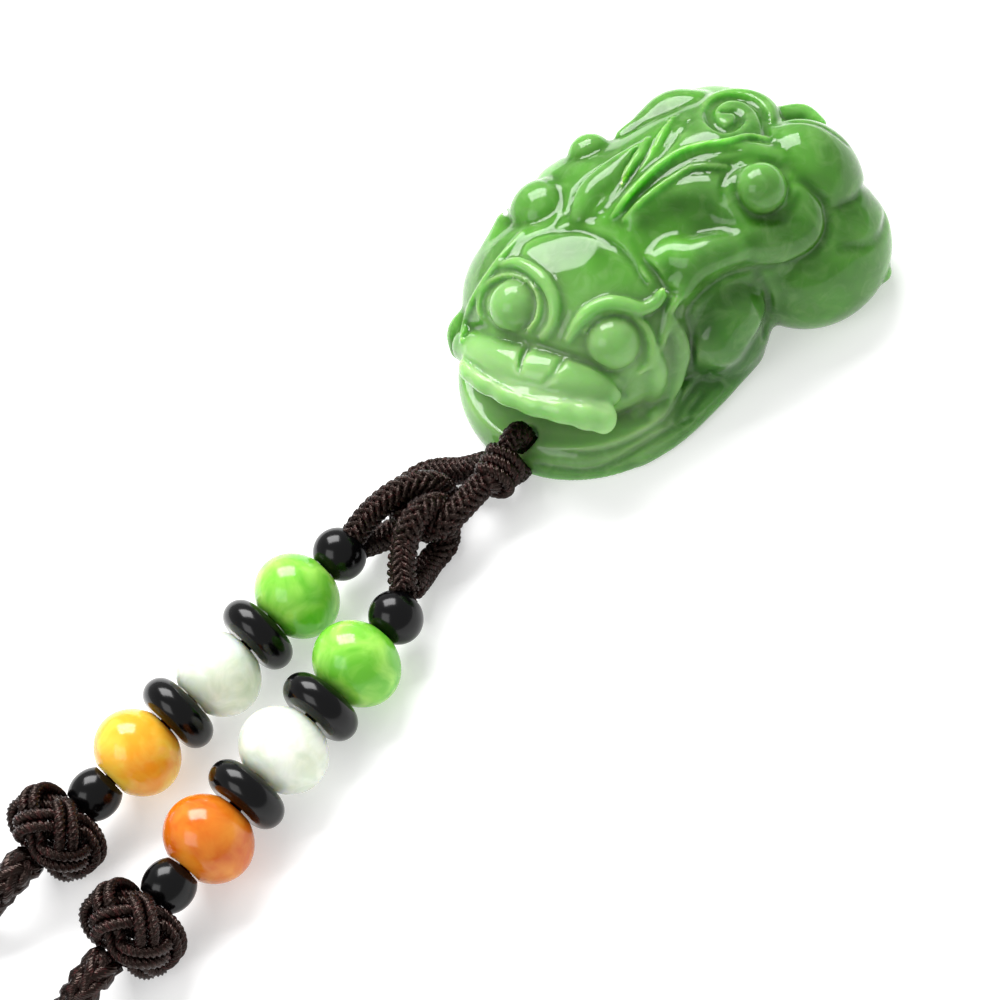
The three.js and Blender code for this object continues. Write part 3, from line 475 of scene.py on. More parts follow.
def body_distance(x, y, z):
    """The beast before it is carved: body, head, jaw and near foreleg."""
    across, ahead = head_axes(x, y)
    d = oval(x, y, z, *CHEST)
    for centre, radii, yaw, blend in BACK_AND_HAUNCHES:
        d = soft_union(d, oval(x, y, z, centre, radii, yaw), blend)
    d = soft_union(d, soft_union(oval(across, ahead, z, *SKULL), oval(across, ahead, z, *MUZZLE), 1.0), 1.5)
    d = soft_union(d, np.maximum(oval(across, ahead, z, *JAW), z - JAW_THICKNESS), 0.8)
    return soft_union(d, oval(x, y, z, *FORELEG), 1.0)


# The carving is drawn on a sheet that faces an eye above the near flank, and each stroke is
# pressed onto the body along the line from that eye. The photograph is taken from there too.
SHEET_ELEVATION = math.radians(52)
SHEET_ROLL = math.radians(29)
SHEET_DISTANCE = 233.0
EYE_RIGHT = -16.7
EYE_UP = -18.25
TO_EYE = np.array([math.cos(SHEET_ELEVATION), 0.0, math.sin(SHEET_ELEVATION)])
LEVEL_RIGHT = np.array([0.0, 1.0, 0.0])
LEVEL_UP = np.cross(TO_EYE, LEVEL_RIGHT)
SHEET_AXIS_RIGHT = math.cos(SHEET_ROLL) * LEVEL_RIGHT - math.sin(SHEET_ROLL) * LEVEL_UP
SHEET_AXIS_UP = math.sin(SHEET_ROLL) * LEVEL_RIGHT + math.cos(SHEET_ROLL) * LEVEL_UP
EYE = SHEET_DISTANCE * TO_EYE + EYE_RIGHT * SHEET_AXIS_RIGHT + EYE_UP * SHEET_AXIS_UP


def sheet_lines(points):
    """Unit directions from the eye through points of the sheet."""
    lines = points[:, :1] * SHEET_AXIS_RIGHT + points[:, 1:2] * SHEET_AXIS_UP - EYE
    return lines / np.linalg.norm(lines, axis=1)[:, None]


def filled(points):
    """Points with all four values. One that a point leaves out is that of the point before."""
    rows = [(0.0, 0.0, 0.0, 0.0)]
    for point in points:
        rows.append((*point, *rows[-1][len(point):]))
    return np.array(rows[1:])


def at_height(points):
    """Sheet points (right, up, radius, height) taken at a height above the table."""
    points = np.array(points)
    lines = sheet_lines(points)
    p = EYE + lines * ((points[:, 3] - EYE[2]) / lines[:, 2])[:, None]
    return np.column_stack([p, points[:, 2]])


def chain_distance(x, y, z, rods):
    """The distance to a chain of rods that taper from point to point."""
    if len(rods) == 1:
        cx, cy, cz, r = rods[0]
        return np.sqrt((x - cx) ** 2 + (y - cy) ** 2 + (z - cz) ** 2) - r
    d = np.full(np.broadcast(x, y, z).shape, 1e9)
    for a, b in zip(rods[:-1], rods[1:]):
        v = b[:3] - a[:3]
        along = ((x - a[0]) * v[0] + (y - a[1]) * v[1] + (z - a[2]) * v[2]) / (v @ v + 1e-9)
        t = np.clip(along, 0, 1)
        away = np.sqrt((x - a[0] - t * v[0]) ** 2 + (y - a[1] - t * v[1]) ** 2 + (z - a[2] - t * v[2]) ** 2)
        d = np.minimum(d, away - a[3] - t * (b[3] - a[3]))
    return d


class Carving:
    """A grid of distances that strokes are added to and cut from."""

    def __init__(self, low, high, step):
        self.low = np.array(low)
        self.step = step
        self.axes = [np.arange(a, b + step, step) for a, b in zip(low, high)]
        self.values = body_distance(*self.grid((slice(None),) * 3)).astype(np.float32)
        self.settle()

    def settle(self):
        """Takes the present form as the one that the next strokes are pressed onto."""
        self.ground = self.values.copy()

    def grid(self, window):
        """The grid's coordinates inside a window."""
        x, y, z = (axis[part] for axis, part in zip(self.axes, window))
        return x[:, None, None], y[None, :, None], z[None, None, :]

    def window(self, low, high):
        """The part of the grid between two corners."""
        parts = []
        for axis, a, b in zip(self.axes, low, high):
            start, end = np.searchsorted(axis, a), np.searchsorted(axis, b)
            parts.append(slice(max(start, 0), max(end, start + 1)))
        return tuple(parts)

    def blend(self, low, high, field, how, amount):
        """Adds or cuts a field of distances between two corners."""
        part = self.window(low, high)
        if self.values[part].size:
            self.values[part] = how(self.values[part], field(*self.grid(part)), amount)

    def depth(self, points):
        """The distances at points, read between the grid's nodes, or the body's own beyond them."""
        place = (points - self.low) / self.step
        last = np.array(self.ground.shape) - 2
        within = ((place >= 0) & (place <= last)).all(axis=1)
        node = np.clip(place, 0, last).astype(int)
        share = np.clip(place - node, 0, 1)
        total = np.zeros(len(points))
        for corner in np.ndindex(2, 2, 2):
            weight = np.prod(np.where(corner, share, 1 - share), axis=1)
            total += weight * self.ground[tuple((node + corner).T)]
        return np.where(within, total, body_distance(*points.T))

    def pressed(self, points):
        """Sheet points (right, up, radius, lift) pressed onto the form and lifted off it."""
        start, rounds, pace, near_enough, probe = 0.88 * SHEET_DISTANCE, 70, 0.85, 0.01, 0.3
        points = filled(points)
        lines = sheet_lines(points)
        p = EYE + start * lines
        for _ in range(rounds):
            d = self.depth(p)
            p = p + np.where((d > near_enough) & (p[:, 2] > 0), pace * d, 0.0)[:, None] * lines
        slope = np.stack([self.depth(p + e) - self.depth(p - e) for e in probe * np.eye(3)], axis=1)
        slope /= np.linalg.norm(slope, axis=1)[:, None] + 1e-9
        return np.column_stack([p + slope * points[:, 3:4], points[:, 2]])

    def stroke(self, rods, blend, how):
        """Adds or cuts a smooth chain of rods."""
        margin = 0.6
        rods = smooth_line(rods, 4)
        reach = rods[:, 3].max() + blend + margin
        self.blend(rods[:, :3].min(0) - reach, rods[:, :3].max(0) + reach,
                   lambda x, y, z: chain_distance(x, y, z, rods), how, blend)

    def ridge(self, blend, *points):
        """Lays a line on, through points (right, up, radius, lift), as filled() takes them."""
        self.stroke(self.pressed(points), blend, soft_union)

    def groove(self, blend, *points):
        """Cuts a line in, through points like a ridge's."""
        self.stroke(self.pressed(points), blend, soft_cut)

    def lump(self, blend, *points):
        """A ridge through points (right, up, radius, height over the table)."""
        self.stroke(at_height(points), blend, soft_union)

    def ring(self, centre, radius, thickness, lift, blend, start=0, end=360, cuts=True):
        """An arc of a circle on the sheet, cut in or laid on."""
        turns = np.radians(np.linspace(start, end, 17))
        u, v = centre
        points = [(u + radius * math.cos(t), v + radius * math.sin(t), thickness, lift) for t in turns]
        self.stroke(self.pressed(points), blend, soft_cut if cuts else soft_union)


def carve_mouth(c):
    """The hollow of the open mouth, between the lip and the jaw."""
    c.blend(MOUTH_LOW, MOUTH_HIGH, lambda x, y, z: oval(*head_axes(x, y), z, *MOUTH), soft_cut, 0.5)


def carve_far_flank(c):
    """The shoulder, the ball, the humps beside the tail and the far ear."""
    c.ridge(0.3, (-13.4, 10.4, 3.5, -1.7))
    c.lump(0.5, (-17.3, 2.5, 1.6, 10.6), (-16.3, 5.4, 2.2, 12.1), (-15.1, 8.0, 2.2, 12.8))
    c.lump(0.3, (-7.9, 15.1, 2.2, 14.9))
    c.lump(0.3, (-4.7, 17.0, 0.8, 15.2), (-3.4, 17.7, 1.0, 15.1), (-1.9, 18.0, 0.8, 15.0))
    c.lump(0.5, (-1.6, 17.6, 2.4, 14.0), (0.3, 18.7, 2.8, 14.0), (2.4, 19.2, 2.3, 14.2))
    c.lump(0.35, (-20.4, -3.5, 1.2, 7.6), (-20.3, -1.9, 1.5, 8.6), (-19.2, -0.2, 1.2, 10.0))


TAIL_CENTRE = (6.5, 18.9, 0.0, 15.2)
TAIL_RADIUS = 3.9
TAIL_EDGE = 1.3
# Under the disc distances count for less, so that it runs on into the rump
TAIL_UNDERSIDE = 0.45
# The way that the disc faces: part towards the eye and part up the sheet
TAIL_AXIS = 0.675 * TO_EYE + 0.738 * SHEET_AXIS_UP


def carve_tail(c):
    """The coiled tail: one round disc that faces up and back, and small humps behind it."""
    centre = at_height([TAIL_CENTRE])[0, :3]

    def disc(x, y, z):
        dx, dy, dz = x - centre[0], y - centre[1], z - centre[2]
        along = dx * TAIL_AXIS[0] + dy * TAIL_AXIS[1] + dz * TAIL_AXIS[2]
        side = np.sqrt(np.maximum(dx * dx + dy * dy + dz * dz - along * along, 0))
        below = np.where(along > 0, along, TAIL_UNDERSIDE * along)
        return np.hypot(np.maximum(side - TAIL_RADIUS + TAIL_EDGE, 0), below) - TAIL_EDGE
    reach = TAIL_RADIUS + 1
    c.blend(centre - reach, centre + reach, disc, soft_union, 0.5)
    c.lump(0.3, (10.6, 18.6, 1.4, 12.6), (12.6, 19.0, 1.2, 12.0), (14.2, 18.2, 0.8, 11.8))


def carve_wing_forms(c):
    """The wing's two bands and its round end over the haunch."""
    c.ridge(0.5, (-4.6, 10.0, 1.0, -0.3), (-2.2, 12.4, 1.4, -0.5), (1.0, 14.4, 1.5, -0.6),
            (4.6, 15.1, 1.6, -0.7), (7.6, 15.4, 1.5), (10.0, 15.0, 1.2, -0.6))
    c.ridge(0.8, (-3.4, 9.2, 1.0, -0.3), (-0.8, 11.2, 1.6, -0.7), (2.2, 12.0, 2.0, -1.0),
            (5.0, 11.6, 2.2, -1.1), (6.6, 9.8))
    c.ridge(0.5, (8.0, 12.0, 3.6, -2.1), (11.0, 10.6, 3.8, -2.2), (12.2, 8.6, 3.6, -2.0),
            (10.4, 7.2, 3.2, -1.6), (7.4, 6.9, 2.6, -1.2), (4.6, 5.9, 2.2, -1.0), (2.4, 4.4, 1.9, -0.9),
            (0.8, 2.0, 1.5, -0.7))


def carve_legs(c):
    """The fold over the near foreleg, its knee, the hind toe and the foot along the jaw."""
    c.groove(1.8, (7.7, 2.4, 2.6, 2.2), (5.5, 1.6, 3.2, 2.7), (3.5, 0.2, 2.6, 2.2), (2.3, -1.9, 1.8, 1.5))
    c.ridge(0.8, (6.6, -1.0, 3.0, -1.6), (4.9, -3.2))
    c.lump(0.3, (20.2, 3.9, 1.1, 2.4))
    c.lump(0.8, (-3.1, -13.4, 1.2, 1.2), (0.4, -10.9, 1.5, 1.2), (3.9, -7.6, 1.6, 1.3),
           (7.1, -3.9, 1.6, 1.4))


FAR_EYE = (-15.8, 0.6)
NEAR_EYE = (-5.7, -3.1)


def carve_lip(c):
    """The rolled lip, thick as far as both round ends."""
    c.ridge(0.3, (-19.3, -3.3, 1.9, 0.1), (-17.5, -4.1, 2.0, 0.3), (-15.2, -4.9, 2.1, 0.4),
            (-12.8, -5.7, 2.2), (-10.4, -6.3), (-8.2, -6.8, 2.1, 0.3), (-6.7, -7.4, 1.9, 0.1))


def carve_teeth(c):
    """The strip of teeth that hangs from the lip's edge, with a waved edge of its own."""
    line = smooth_line(c.pressed([
        (-20.0, -3.7, 0.6), (-19.0, -4.6, 0.65), (-17.2, -5.6, 0.7), (-15.2, -6.5, 0.75), (-12.8, -7.3, 0.8),
        (-10.4, -7.8, 0.85), (-8.4, -8.2, 1.0), (-6.7, -8.5, 1.1)]), 5)
    wave_depth, wave_step = 0.07, 1.1
    line[:, 3] += wave_depth * np.sin(wave_step * np.arange(len(line)))
    for hang, set_back in ((1.3, 0.2), (2.0, 0.3)):
        row = line.copy()
        row[:, :3] -= hang * SHEET_AXIS_UP + set_back * TO_EYE
        c.stroke(row, 0.8, soft_union)


def cut_face(c):
    """Brows, lids, eyeballs and the lines that frame the face."""
    c.ridge(0.2, (-14.6, 7.6, 0.3, 0), (-16.4, 5.3, 0.4, 0.1), (-18.0, 3.1), (-19.3, 0.9), (-19.9, -1.0),
            (-20.3, -2.7, 0.3))
    c.groove(0.25, (-15.0, 5.0, 0.3, 0.1), (-14.5, 6.7, 0.35), (-12.8, 7.6), (-10.7, 7.9), (-8.7, 7.9),
             (-6.8, 7.2), (-5.0, 6.0), (-3.7, 4.5), (-2.6, 2.7, 0.3))
    for u, v in (FAR_EYE, NEAR_EYE):
        c.groove(0.5, (u, v, 3.7, 3.2))
    c.ridge(0.3, (-16.8, 4.5, 0.3, 0.1), (-14.8, 4.7, 0.55, 0.2), (-12.8, 3.5, 0.65, 0.25), (-11.7, 2.0),
            (-11.3, 0.4, 0.6, 0.2), (-11.7, -1.3, 0.45, 0.1), (-12.7, -2.5, 0.3, 0))
    c.ridge(0.3, (-10.1, -2.6, 0.3, 0.1), (-8.9, -0.8, 0.6, 0.2), (-7.6, 0.3, 0.7, 0.25),
            (-6.0, 0.8, 0.75, 0.3), (-4.5, 0.6), (-3.0, 0.3, 0.65), (-1.6, 1.0, 0.6, 0.35),
            (-0.6, 2.1, 0.5, 0.4))
    c.ridge(0.2, (-8.4, -1.8, 0.3, 0.1), (-7.3, -0.6), (-5.7, 0.0), (-4.1, -0.2),
            (-2.7, -1.3, 0.35, 0.15), (-2.0, -2.9, 0.4), (-2.1, -4.7, 0.4, 0.1), (-3.1, -5.8, 0.3, 0))
    c.ring(FAR_EYE, 2.9, 0.3, 0.1, 0.2, -50, 200, cuts=False)
    for u, v in (FAR_EYE, NEAR_EYE):
        c.ring((u, v), 2.5, 0.3, 0.1, 0.2)
        c.ridge(0.15, (u, v, 2.6, -1.1))


def cut_lip(c):
    """The lines over and under the lip, and two short folds in it."""
    c.groove(0.25, (-20.2, -2.4, 0.25, 0.1), (-19.4, -1.6, 0.3, 0.15), (-17.9, -1.4), (-16.2, -1.9, 0.35),
             (-14.6, -2.6), (-12.6, -3.2), (-10.7, -3.9), (-8.7, -4.7), (-6.8, -5.7),
             (-5.3, -6.9, 0.35, 0.1), (-4.5, -8.3, 0.3))
    c.groove(0.2, (-20.3, -4.3, 0.2, 0.05), (-19.1, -5.2, 0.3, 0.1), (-17.2, -6.5), (-15.2, -7.5),
             (-12.8, -8.2), (-10.3, -8.4), (-8.0, -8.8), (-6.1, -9.5, 0.2, 0.05))
    c.groove(0.15, (-14.0, -3.3, 0.45, 0.15), (-14.5, -4.5, 0.35, 0.1), (-14.8, -5.8, 0.2, 0.05))
    c.groove(0.15, (-10.7, -4.6, 0.45, 0.15), (-11.5, -5.8, 0.35, 0.1), (-12.5, -7.0, 0.2, 0.05))


def cut_cheek(c):
    """Folds behind the near eye and down the cheek, and the line that ends it."""
    c.ridge(0.3, (0.5, 1.2, 0.35, 0.1), (-0.3, -0.1, 0.4), (-0.7, -1.8), (-1.0, -3.2, 0.3, 0))
    c.ridge(0.6, (0.0, -1.0, 0.5, 0), (0.9, -3.2, 0.9, -0.1), (0.5, -5.8), (-0.4, -8.4, 0.8),
            (-1.7, -9.9, 0.5))
    c.ridge(0.6, (-1.7, -3.9, 0.5, 0), (-1.3, -6.1, 0.9, -0.2), (-1.9, -8.3), (-3.4, -9.8, 0.5, -0.1))
    c.groove(0.4, (1.6, 0.2, 0.35, 0.15), (1.9, -2.5), (1.7, -5.4), (0.7, -8.5), (-0.8, -10.9, 0.3, 0.1))


def cut_mane(c):
    """A broad leaf and two narrow blades that fan out from behind the forehead."""
    c.ring((-13.4, 10.3), 2.8, 0.25, 0.1, 0.2, -80, 215)
    c.ridge(0.25, (-9.0, 9.5, 1.2, -0.7), (-8.2, 11.4, 2.0, -1.2), (-6.8, 13.0, 2.1, -1.3),
            (-5.1, 14.6, 1.6, -1.0), (-3.3, 16.0, 0.6, -0.2))
    c.ridge(0.15, (-5.9, 10.7, 0.3, 0), (-4.6, 13.0, 0.55), (-3.4, 14.9), (-2.4, 16.7, 0.35))
    c.ridge(0.15, (-3.1, 13.8, 0.3, 0), (-1.8, 15.7, 0.5), (-0.7, 17.5), (0.1, 18.8, 0.3))
    c.groove(0.2, (-10.2, 9.4, 0.3, 0.1), (-9.5, 11.2, 0.35), (-8.4, 12.8), (-6.6, 14.3, 0.3),
             (-4.6, 15.6))
    c.groove(0.2, (-7.6, 9.1, 0.3, 0.1), (-6.4, 10.6), (-5.3, 12.2), (-4.3, 14.0), (-3.4, 15.6, 0.25))
    c.groove(0.2, (-6.7, 9.6, 0.25, 0.1), (-4.9, 11.8, 0.3), (-3.1, 14.3), (-1.7, 16.4),
             (-0.4, 18.4, 0.25))
    c.groove(0.2, (-4.5, 11.0, 0.25, 0.1), (-2.6, 13.4, 0.3), (-0.9, 15.3), (0.6, 17.2),
             (1.7, 18.6, 0.25))


def cut_wing(c):
    """The wing: a thin rim, two bands, a ball in a ring and a round end over the haunch."""
    c.ridge(0.15, (-5.7, 9.3, 0.25, 0.1), (-4.5, 10.8, 0.35, 0.2), (-2.8, 12.7), (-1.0, 14.3),
            (1.0, 15.5), (3.2, 16.1), (5.4, 16.4), (7.4, 16.9), (9.3, 16.7, 0.3, 0.1))
    c.groove(0.2, (-4.9, 9.4, 0.3, 0.1), (-3.7, 10.9, 0.35), (-2.1, 12.4), (-0.2, 14.0), (2.0, 15.1),
             (4.3, 15.6), (6.5, 15.8, 0.3))
    c.ridge(0.15, (-4.6, 9.0, 0.25, 0), (-3.1, 10.5, 0.35, 0.1), (-1.2, 12.0, 0.35, 0.15), (0.6, 13.2),
            (2.0, 14.0), (3.6, 14.1), (5.2, 14.0, 0.3, 0.1))
    c.groove(0.25, (4.9, 10.8, 0.25, 0.1), (4.7, 12.1, 0.35, 0.15), (5.2, 13.2), (6.3, 14.0), (7.8, 14.4),
             (9.5, 14.2), (11.0, 13.3, 0.3, 0.1))
    c.groove(0.4, (6.6, 11.0, 0.5, 0.3), (7.6, 9.6, 0.9, 0.55), (9.3, 9.1, 1.0, 0.6),
             (11.1, 9.8, 0.9, 0.55), (12.2, 11.2, 0.5, 0.3))
    c.ring((8.9, 12.2), 2.5, 0.35, 0.15, 0.2)
    c.ridge(0.15, (8.9, 12.2, 2.35, -0.7))
    c.groove(0.3, (11.5, 12.8, 0.3, 0.15), (12.8, 12.6, 0.35, 0.2), (13.9, 11.8, 0.4), (14.8, 10.6, 0.45),
             (15.1, 9.0), (14.9, 7.4), (13.8, 5.9), (12.1, 5.0), (10.3, 4.4), (8.3, 4.2), (6.8, 3.9),
             (5.2, 3.4), (4.0, 2.6), (2.9, 1.7, 0.4), (2.0, 0.7, 0.35, 0.15), (1.5, -0.3, 0.3, 0.1))


def cut_shoulder(c):
    """The bean-shaped hollow before the wing, and the band under it."""
    c.groove(0.8, (-2.2, 6.7, 1.8, 1.4), (-1.4, 7.8, 2.6, 2.0), (0.4, 8.5), (2.9, 8.4, 2.0, 1.5),
             (5.3, 7.8, 1.0, 0.7))
    c.ridge(1.0, (-1.7, 4.3, 1.0, -0.6), (0.0, 5.3, 1.6, -1.0), (1.8, 5.7, 1.7, -1.1), (3.9, 5.8, 1.6),
            (6.1, 5.8, 1.1, -0.7))
    c.groove(0.3, (-3.9, 6.9, 0.25, 0.1), (-2.9, 5.1, 0.4, 0.15), (-1.6, 3.6, 0.5, 0.2), (-0.9, 2.5, 0.4),
             (0.4, 1.9, 0.3, 0.1))


def cut_rump(c):
    """Lines over the rump, round the haunch and along the legs."""
    c.groove(0.2, (8.9, 17.4, 0.25, 0.1), (9.3, 18.3, 0.3), (11.5, 18.5), (13.9, 18.3), (15.5, 17.5),
             (17.1, 16.2, 0.25))
    c.groove(0.3, (19.0, 13.8, 0.3, 0.1), (18.9, 12.4, 0.45, 0.2), (18.0, 11.2), (16.3, 10.3, 0.4),
             (14.9, 9.7, 0.3, 0.15))
    c.groove(0.25, (19.2, 12.3, 0.3, 0.1), (20.2, 11.4), (20.9, 10.3, 0.25))
    c.groove(0.5, (20.8, 9.4, 0.4, 0.3), (20.2, 7.4, 0.5, 0.35), (18.8, 6.4), (16.5, 6.2, 0.4, 0.3))
    c.groove(0.3, (8.3, 3.7, 0.35, 0.1), (9.2, 2.1, 0.45), (9.4, 0.0), (9.0, -2.2, 0.4))


def cut_tail(c):
    """The spiral on the tail's disc, from its rim to the hook in its middle."""
    c.groove(0.12, (9.2, 17.2, 0.4, 0), (8.9, 19.2, 0.55), (7.8, 20.5, 0.6), (6.1, 21.0), (4.5, 20.7),
             (3.6, 19.7), (3.9, 18.6), (5.0, 17.9), (6.1, 18.2, 0.55), (6.7, 19.0, 0.5),
             (6.1, 19.6, 0.45), (5.0, 19.6, 0.4))


def cut_base(c):
    """Ledges along the jaw and leaf folds along the foot."""
    c.groove(0.25, (-13.8, -13.1, 0.25, 0.1), (-10.9, -13.6, 0.35), (-8.0, -13.7), (-5.5, -13.2),
             (-3.1, -12.1), (-1.0, -10.7, 0.25))
    c.groove(0.25, (-13.3, -14.8, 0.25, 0.1), (-10.9, -15.3, 0.35), (-8.5, -15.5), (-6.5, -15.1),
             (-4.6, -14.1), (-2.5, -12.8), (-0.4, -11.6), (1.8, -10.4, 0.25))
    c.groove(0.2, (0.0, -11.2, 0.25, 0.1), (1.1, -9.0, 0.35), (2.4, -7.1), (3.7, -5.8, 0.25))
    c.groove(0.2, (1.8, -9.7, 0.25, 0.1), (3.2, -7.9, 0.3), (4.7, -6.4, 0.25))


def drill_and_flatten(c):
    """The cord's hole through the jaw, and the flat underside."""
    hx, hy = CORD_HOLE

    def drill(x, y, z):
        return np.sqrt((x - hx) ** 2 + (y - hy) ** 2) - CORD_HOLE_DIAMETER / 2 + 0 * z
    c.blend((hx - 4, hy - 4, -3), (hx + 4, hy + 4, 7), drill, soft_cut, 0.3)
    c.values = np.maximum(c.values, -c.grid((slice(None),) * 3)[2])


def surface_net(values, low, step):
    """Points and four-sided faces where a grid of distances is zero."""
    inside = values < 0
    shape = tuple(n - 1 for n in values.shape)
    total = np.zeros((*shape, 3), np.float32)
    count = np.zeros(shape, np.float32)
    for axis in range(3):
        others = [i for i in range(3) if i != axis]
        for a in (0, 1):
            for b in (0, 1):
                start = [0, 0, 0]
                start[others[0]], start[others[1]] = a, b
                near = tuple(slice(s, s + n) for s, n in zip(start, shape))
                start[axis] = 1
                far = tuple(slice(s, s + n) for s, n in zip(start, shape))
                crossing = inside[near] != inside[far]
                v, w = values[near], values[far]
                share = np.where(crossing, v / np.where(crossing, v - w, 1.0), 0.0)
                total[..., axis] += share
                total[..., others[0]] += crossing * a
                total[..., others[1]] += crossing * b
                count += crossing
    cells = np.argwhere(count > 0)
    number = np.full(shape, -1, np.int64)
    number[tuple(cells.T)] = np.arange(len(cells))
    points = low + (cells + total[tuple(cells.T)] / count[tuple(cells.T)][:, None]) * step
    faces = []
    for axis in range(3):
        u, v = np.eye(3, dtype=int)[[(axis + 1) % 3, (axis + 2) % 3]]
        ahead = np.eye(3, dtype=int)[axis]
        here = tuple(slice(0, n - a) for n, a in zip(values.shape, ahead))
        there = tuple(slice(a, n) for n, a in zip(values.shape, ahead))
        places = np.argwhere(inside[here] != inside[there])
        places = places[(places[:, (axis + 1) % 3] > 0) & (places[:, (axis + 2) % 3] > 0)]
        places = places[(places < np.array(shape)).all(axis=1)]
        quad = np.stack([number[tuple((places - shift).T)] for shift in (u + v, v, 0 * u, u)], axis=1)
        back = ~inside[tuple(places.T)]
        quad[back] = quad[back][:, ::-1]
        faces.append(quad)
    return points, np.vstack(faces)


def eased(points, faces, rounds, flat_below, pace=0.6):
    """Moves each point towards the middle of its neighbours, as polishing does."""
    ends = np.vstack([faces[:, [0, 1]], faces[:, [1, 2]], faces[:, [2, 3]], faces[:, [3, 0]]])
    degree = np.bincount(ends[:, 0], minlength=len(points))[:, None]
    held = points[:, 2] < flat_below
    for _ in range(rounds):
        total = np.zeros_like(points)
        for i in range(3):
            total[:, i] = np.bincount(ends[:, 0], weights=points[ends[:, 1], i], minlength=len(points))
        moved = points + pace * (total / degree - points)
        moved[held, 2] = points[held, 2]
        points = moved
    return points


def hollow_depth(points, faces):
    """How far each point lies below its wider surroundings, from -1 on a dome to 1 in a groove."""
    rounds, under_all, full_depth = 24, -1.0, 0.16
    wide = eased(points, faces, rounds, under_all)
    ab = points[faces[:, 2]] - points[faces[:, 0]]
    cd = points[faces[:, 3]] - points[faces[:, 1]]
    face_normals = np.cross(ab, cd)
    normals = np.zeros_like(points)
    for k in range(4):
        for i in range(3):
            normals[:, i] += np.bincount(faces[:, k], weights=face_normals[:, i], minlength=len(points))
    normals /= np.linalg.norm(normals, axis=1)[:, None] + 1e-9
    sunk = np.einsum("ij,ij->i", wide - points, normals)
    return np.clip(sunk / full_depth, -1, 1)


# Painted shade: darker green where the stone lies in shade or the light has the longest way through it.
# Centre, reach and share
SHADED_PLACES = (
    ((9.5, 0.5, 5.0), 8.0, 1.0),
    ((2.5, 3.0, 14.0), 4.0, 0.3),
    ((5.0, -18.0, 4.0), 7.5, 0.2),
    ((-1.0, 12.0, 16.5), 6.5, 0.45),
    ((3.0, 9.0, 14.0), 6.0, 0.35),
)


# Sheet points of a line, its reach and share. The lips and the face are paler stone, and the jaw plate under
# the muzzle is lightened as painted light in the muzzle's shade.
PALE_AND_LIT_LINES = (
    (((-20.0, -5.0), (-17.0, -6.5), (-12.0, -8.5), (-6.3, -10.0)), 3.4, 0.95),
    (((-18.6, -8.5), (-14.0, -11.0), (-8.5, -12.0), (-3.0, -11.0)), 4.0, 0.7),
    (((-15.8, 0.6), (-10.5, -2.5), (-5.7, -3.1), (-2.5, -5.5)), 7.5, 0.5),
)
# Darker green along the foot of the beast, as painted shade by the table, and over the tail's disc
DARKER_LINES = (
    (((-14.0, -12.5), (-7.0, -13.5), (0.0, -10.5), (7.0, -4.0)), 4.5, 0.8),
    (((3.0, 19.0), (9.0, 18.5)), 4.0, 0.6),
)
# Painted shade in grooves and painted light on domes, by how far a point lies below or above its
# surroundings
CREASE_SHADE_SHARE, DOME_LIGHT_SHARE = 0.45, 0.3
# Above 1, a shaded place keeps its full share of painted shade over its middle
SHADE_FALL = 1.6


def near_line(c, points, line, reach):
    """1 on a line through sheet points, falling to 0 at a distance."""
    rods = smooth_line(c.pressed(line), 4)
    return np.clip(1 - chain_distance(*points.T, rods) / reach, 0, 1)


def painted_shade_share(c, points, sunk):
    """How much painted shade each point has, as a darker green, from 0 to 1."""
    shade = CREASE_SHADE_SHARE * np.clip(sunk, 0, 1)
    for line, reach, share in DARKER_LINES:
        shade = np.maximum(shade, share * near_line(c, points, line, reach))
    for centre, reach, share in SHADED_PLACES:
        away = np.linalg.norm(points - np.array(centre), axis=1)
        shade = np.maximum(shade, share * np.clip(SHADE_FALL * (1 - away / reach), 0, 1))
    return shade


def pale_and_lit_share(c, points, sunk):
    """How pale each point is, from 0 to 1: milky lips and face, and painted light on domes and on the jaw
    plate under the muzzle.
    """
    pale = DOME_LIGHT_SHARE * np.clip(-sunk, 0, 1)
    for line, reach, share in PALE_AND_LIT_LINES:
        pale += share * near_line(c, points, line, reach)
    return np.clip(pale, 0, 1)


def store_share(piece, name, shares):
    """Keeps one number for each corner of a piece, which its material reads by name."""
    layer = piece.data.attributes.new(name, "FLOAT", "POINT")
    layer.data.foreach_set("value", shares.astype(np.float32))


CARVING_LOW, CARVING_HIGH = (-17.0, -25.0, -0.7), (18.5, 25.5, 20.5)
FORMS = (carve_mouth, carve_far_flank, carve_tail, carve_wing_forms, carve_legs, carve_lip)
LINES = (cut_face, cut_lip, cut_cheek, cut_mane, cut_wing, cut_shoulder, cut_rump, cut_tail, cut_base)


class OBJECT_OT_jade_pixiu(bpy.types.Operator):
    """Carves the beast from one grid of distances"""
    bl_idname = "pendant.jade_pixiu"
    bl_label = "Jade pixiu"

    def execute(self, context):
        step = context.scene.pendant_sizes.carving_step / MM
        quick_coarseness, polish_rounds, foot_height = 1.6, 2, 0.2
        c = Carving(CARVING_LOW, CARVING_HIGH, step)
        for carve in FORMS:
            carve(c)
        c.settle()
        carve_teeth(c)
        c.settle()
        for cut in LINES:
            cut(c)
        drill_and_flatten(c)
        points, faces = surface_net(c.values, c.low, c.step)
        points = eased(points, faces, polish_rounds, foot_height)
        jade = polished_jade(context.scene.pendant_colours)
        piece = add_piece("jade_beast", points, faces, jade, ["jade_pixiu"])
        sunk = hollow_depth(points, faces)
        # The 'hollow' share is painted shade; the 'pale' share is milky stone with painted light
        store_share(piece, "hollow", painted_shade_share(c, points, sunk))
        store_share(piece, "pale", pale_and_lit_share(c, points, sunk))
        return {"FINISHED"}


# Beads

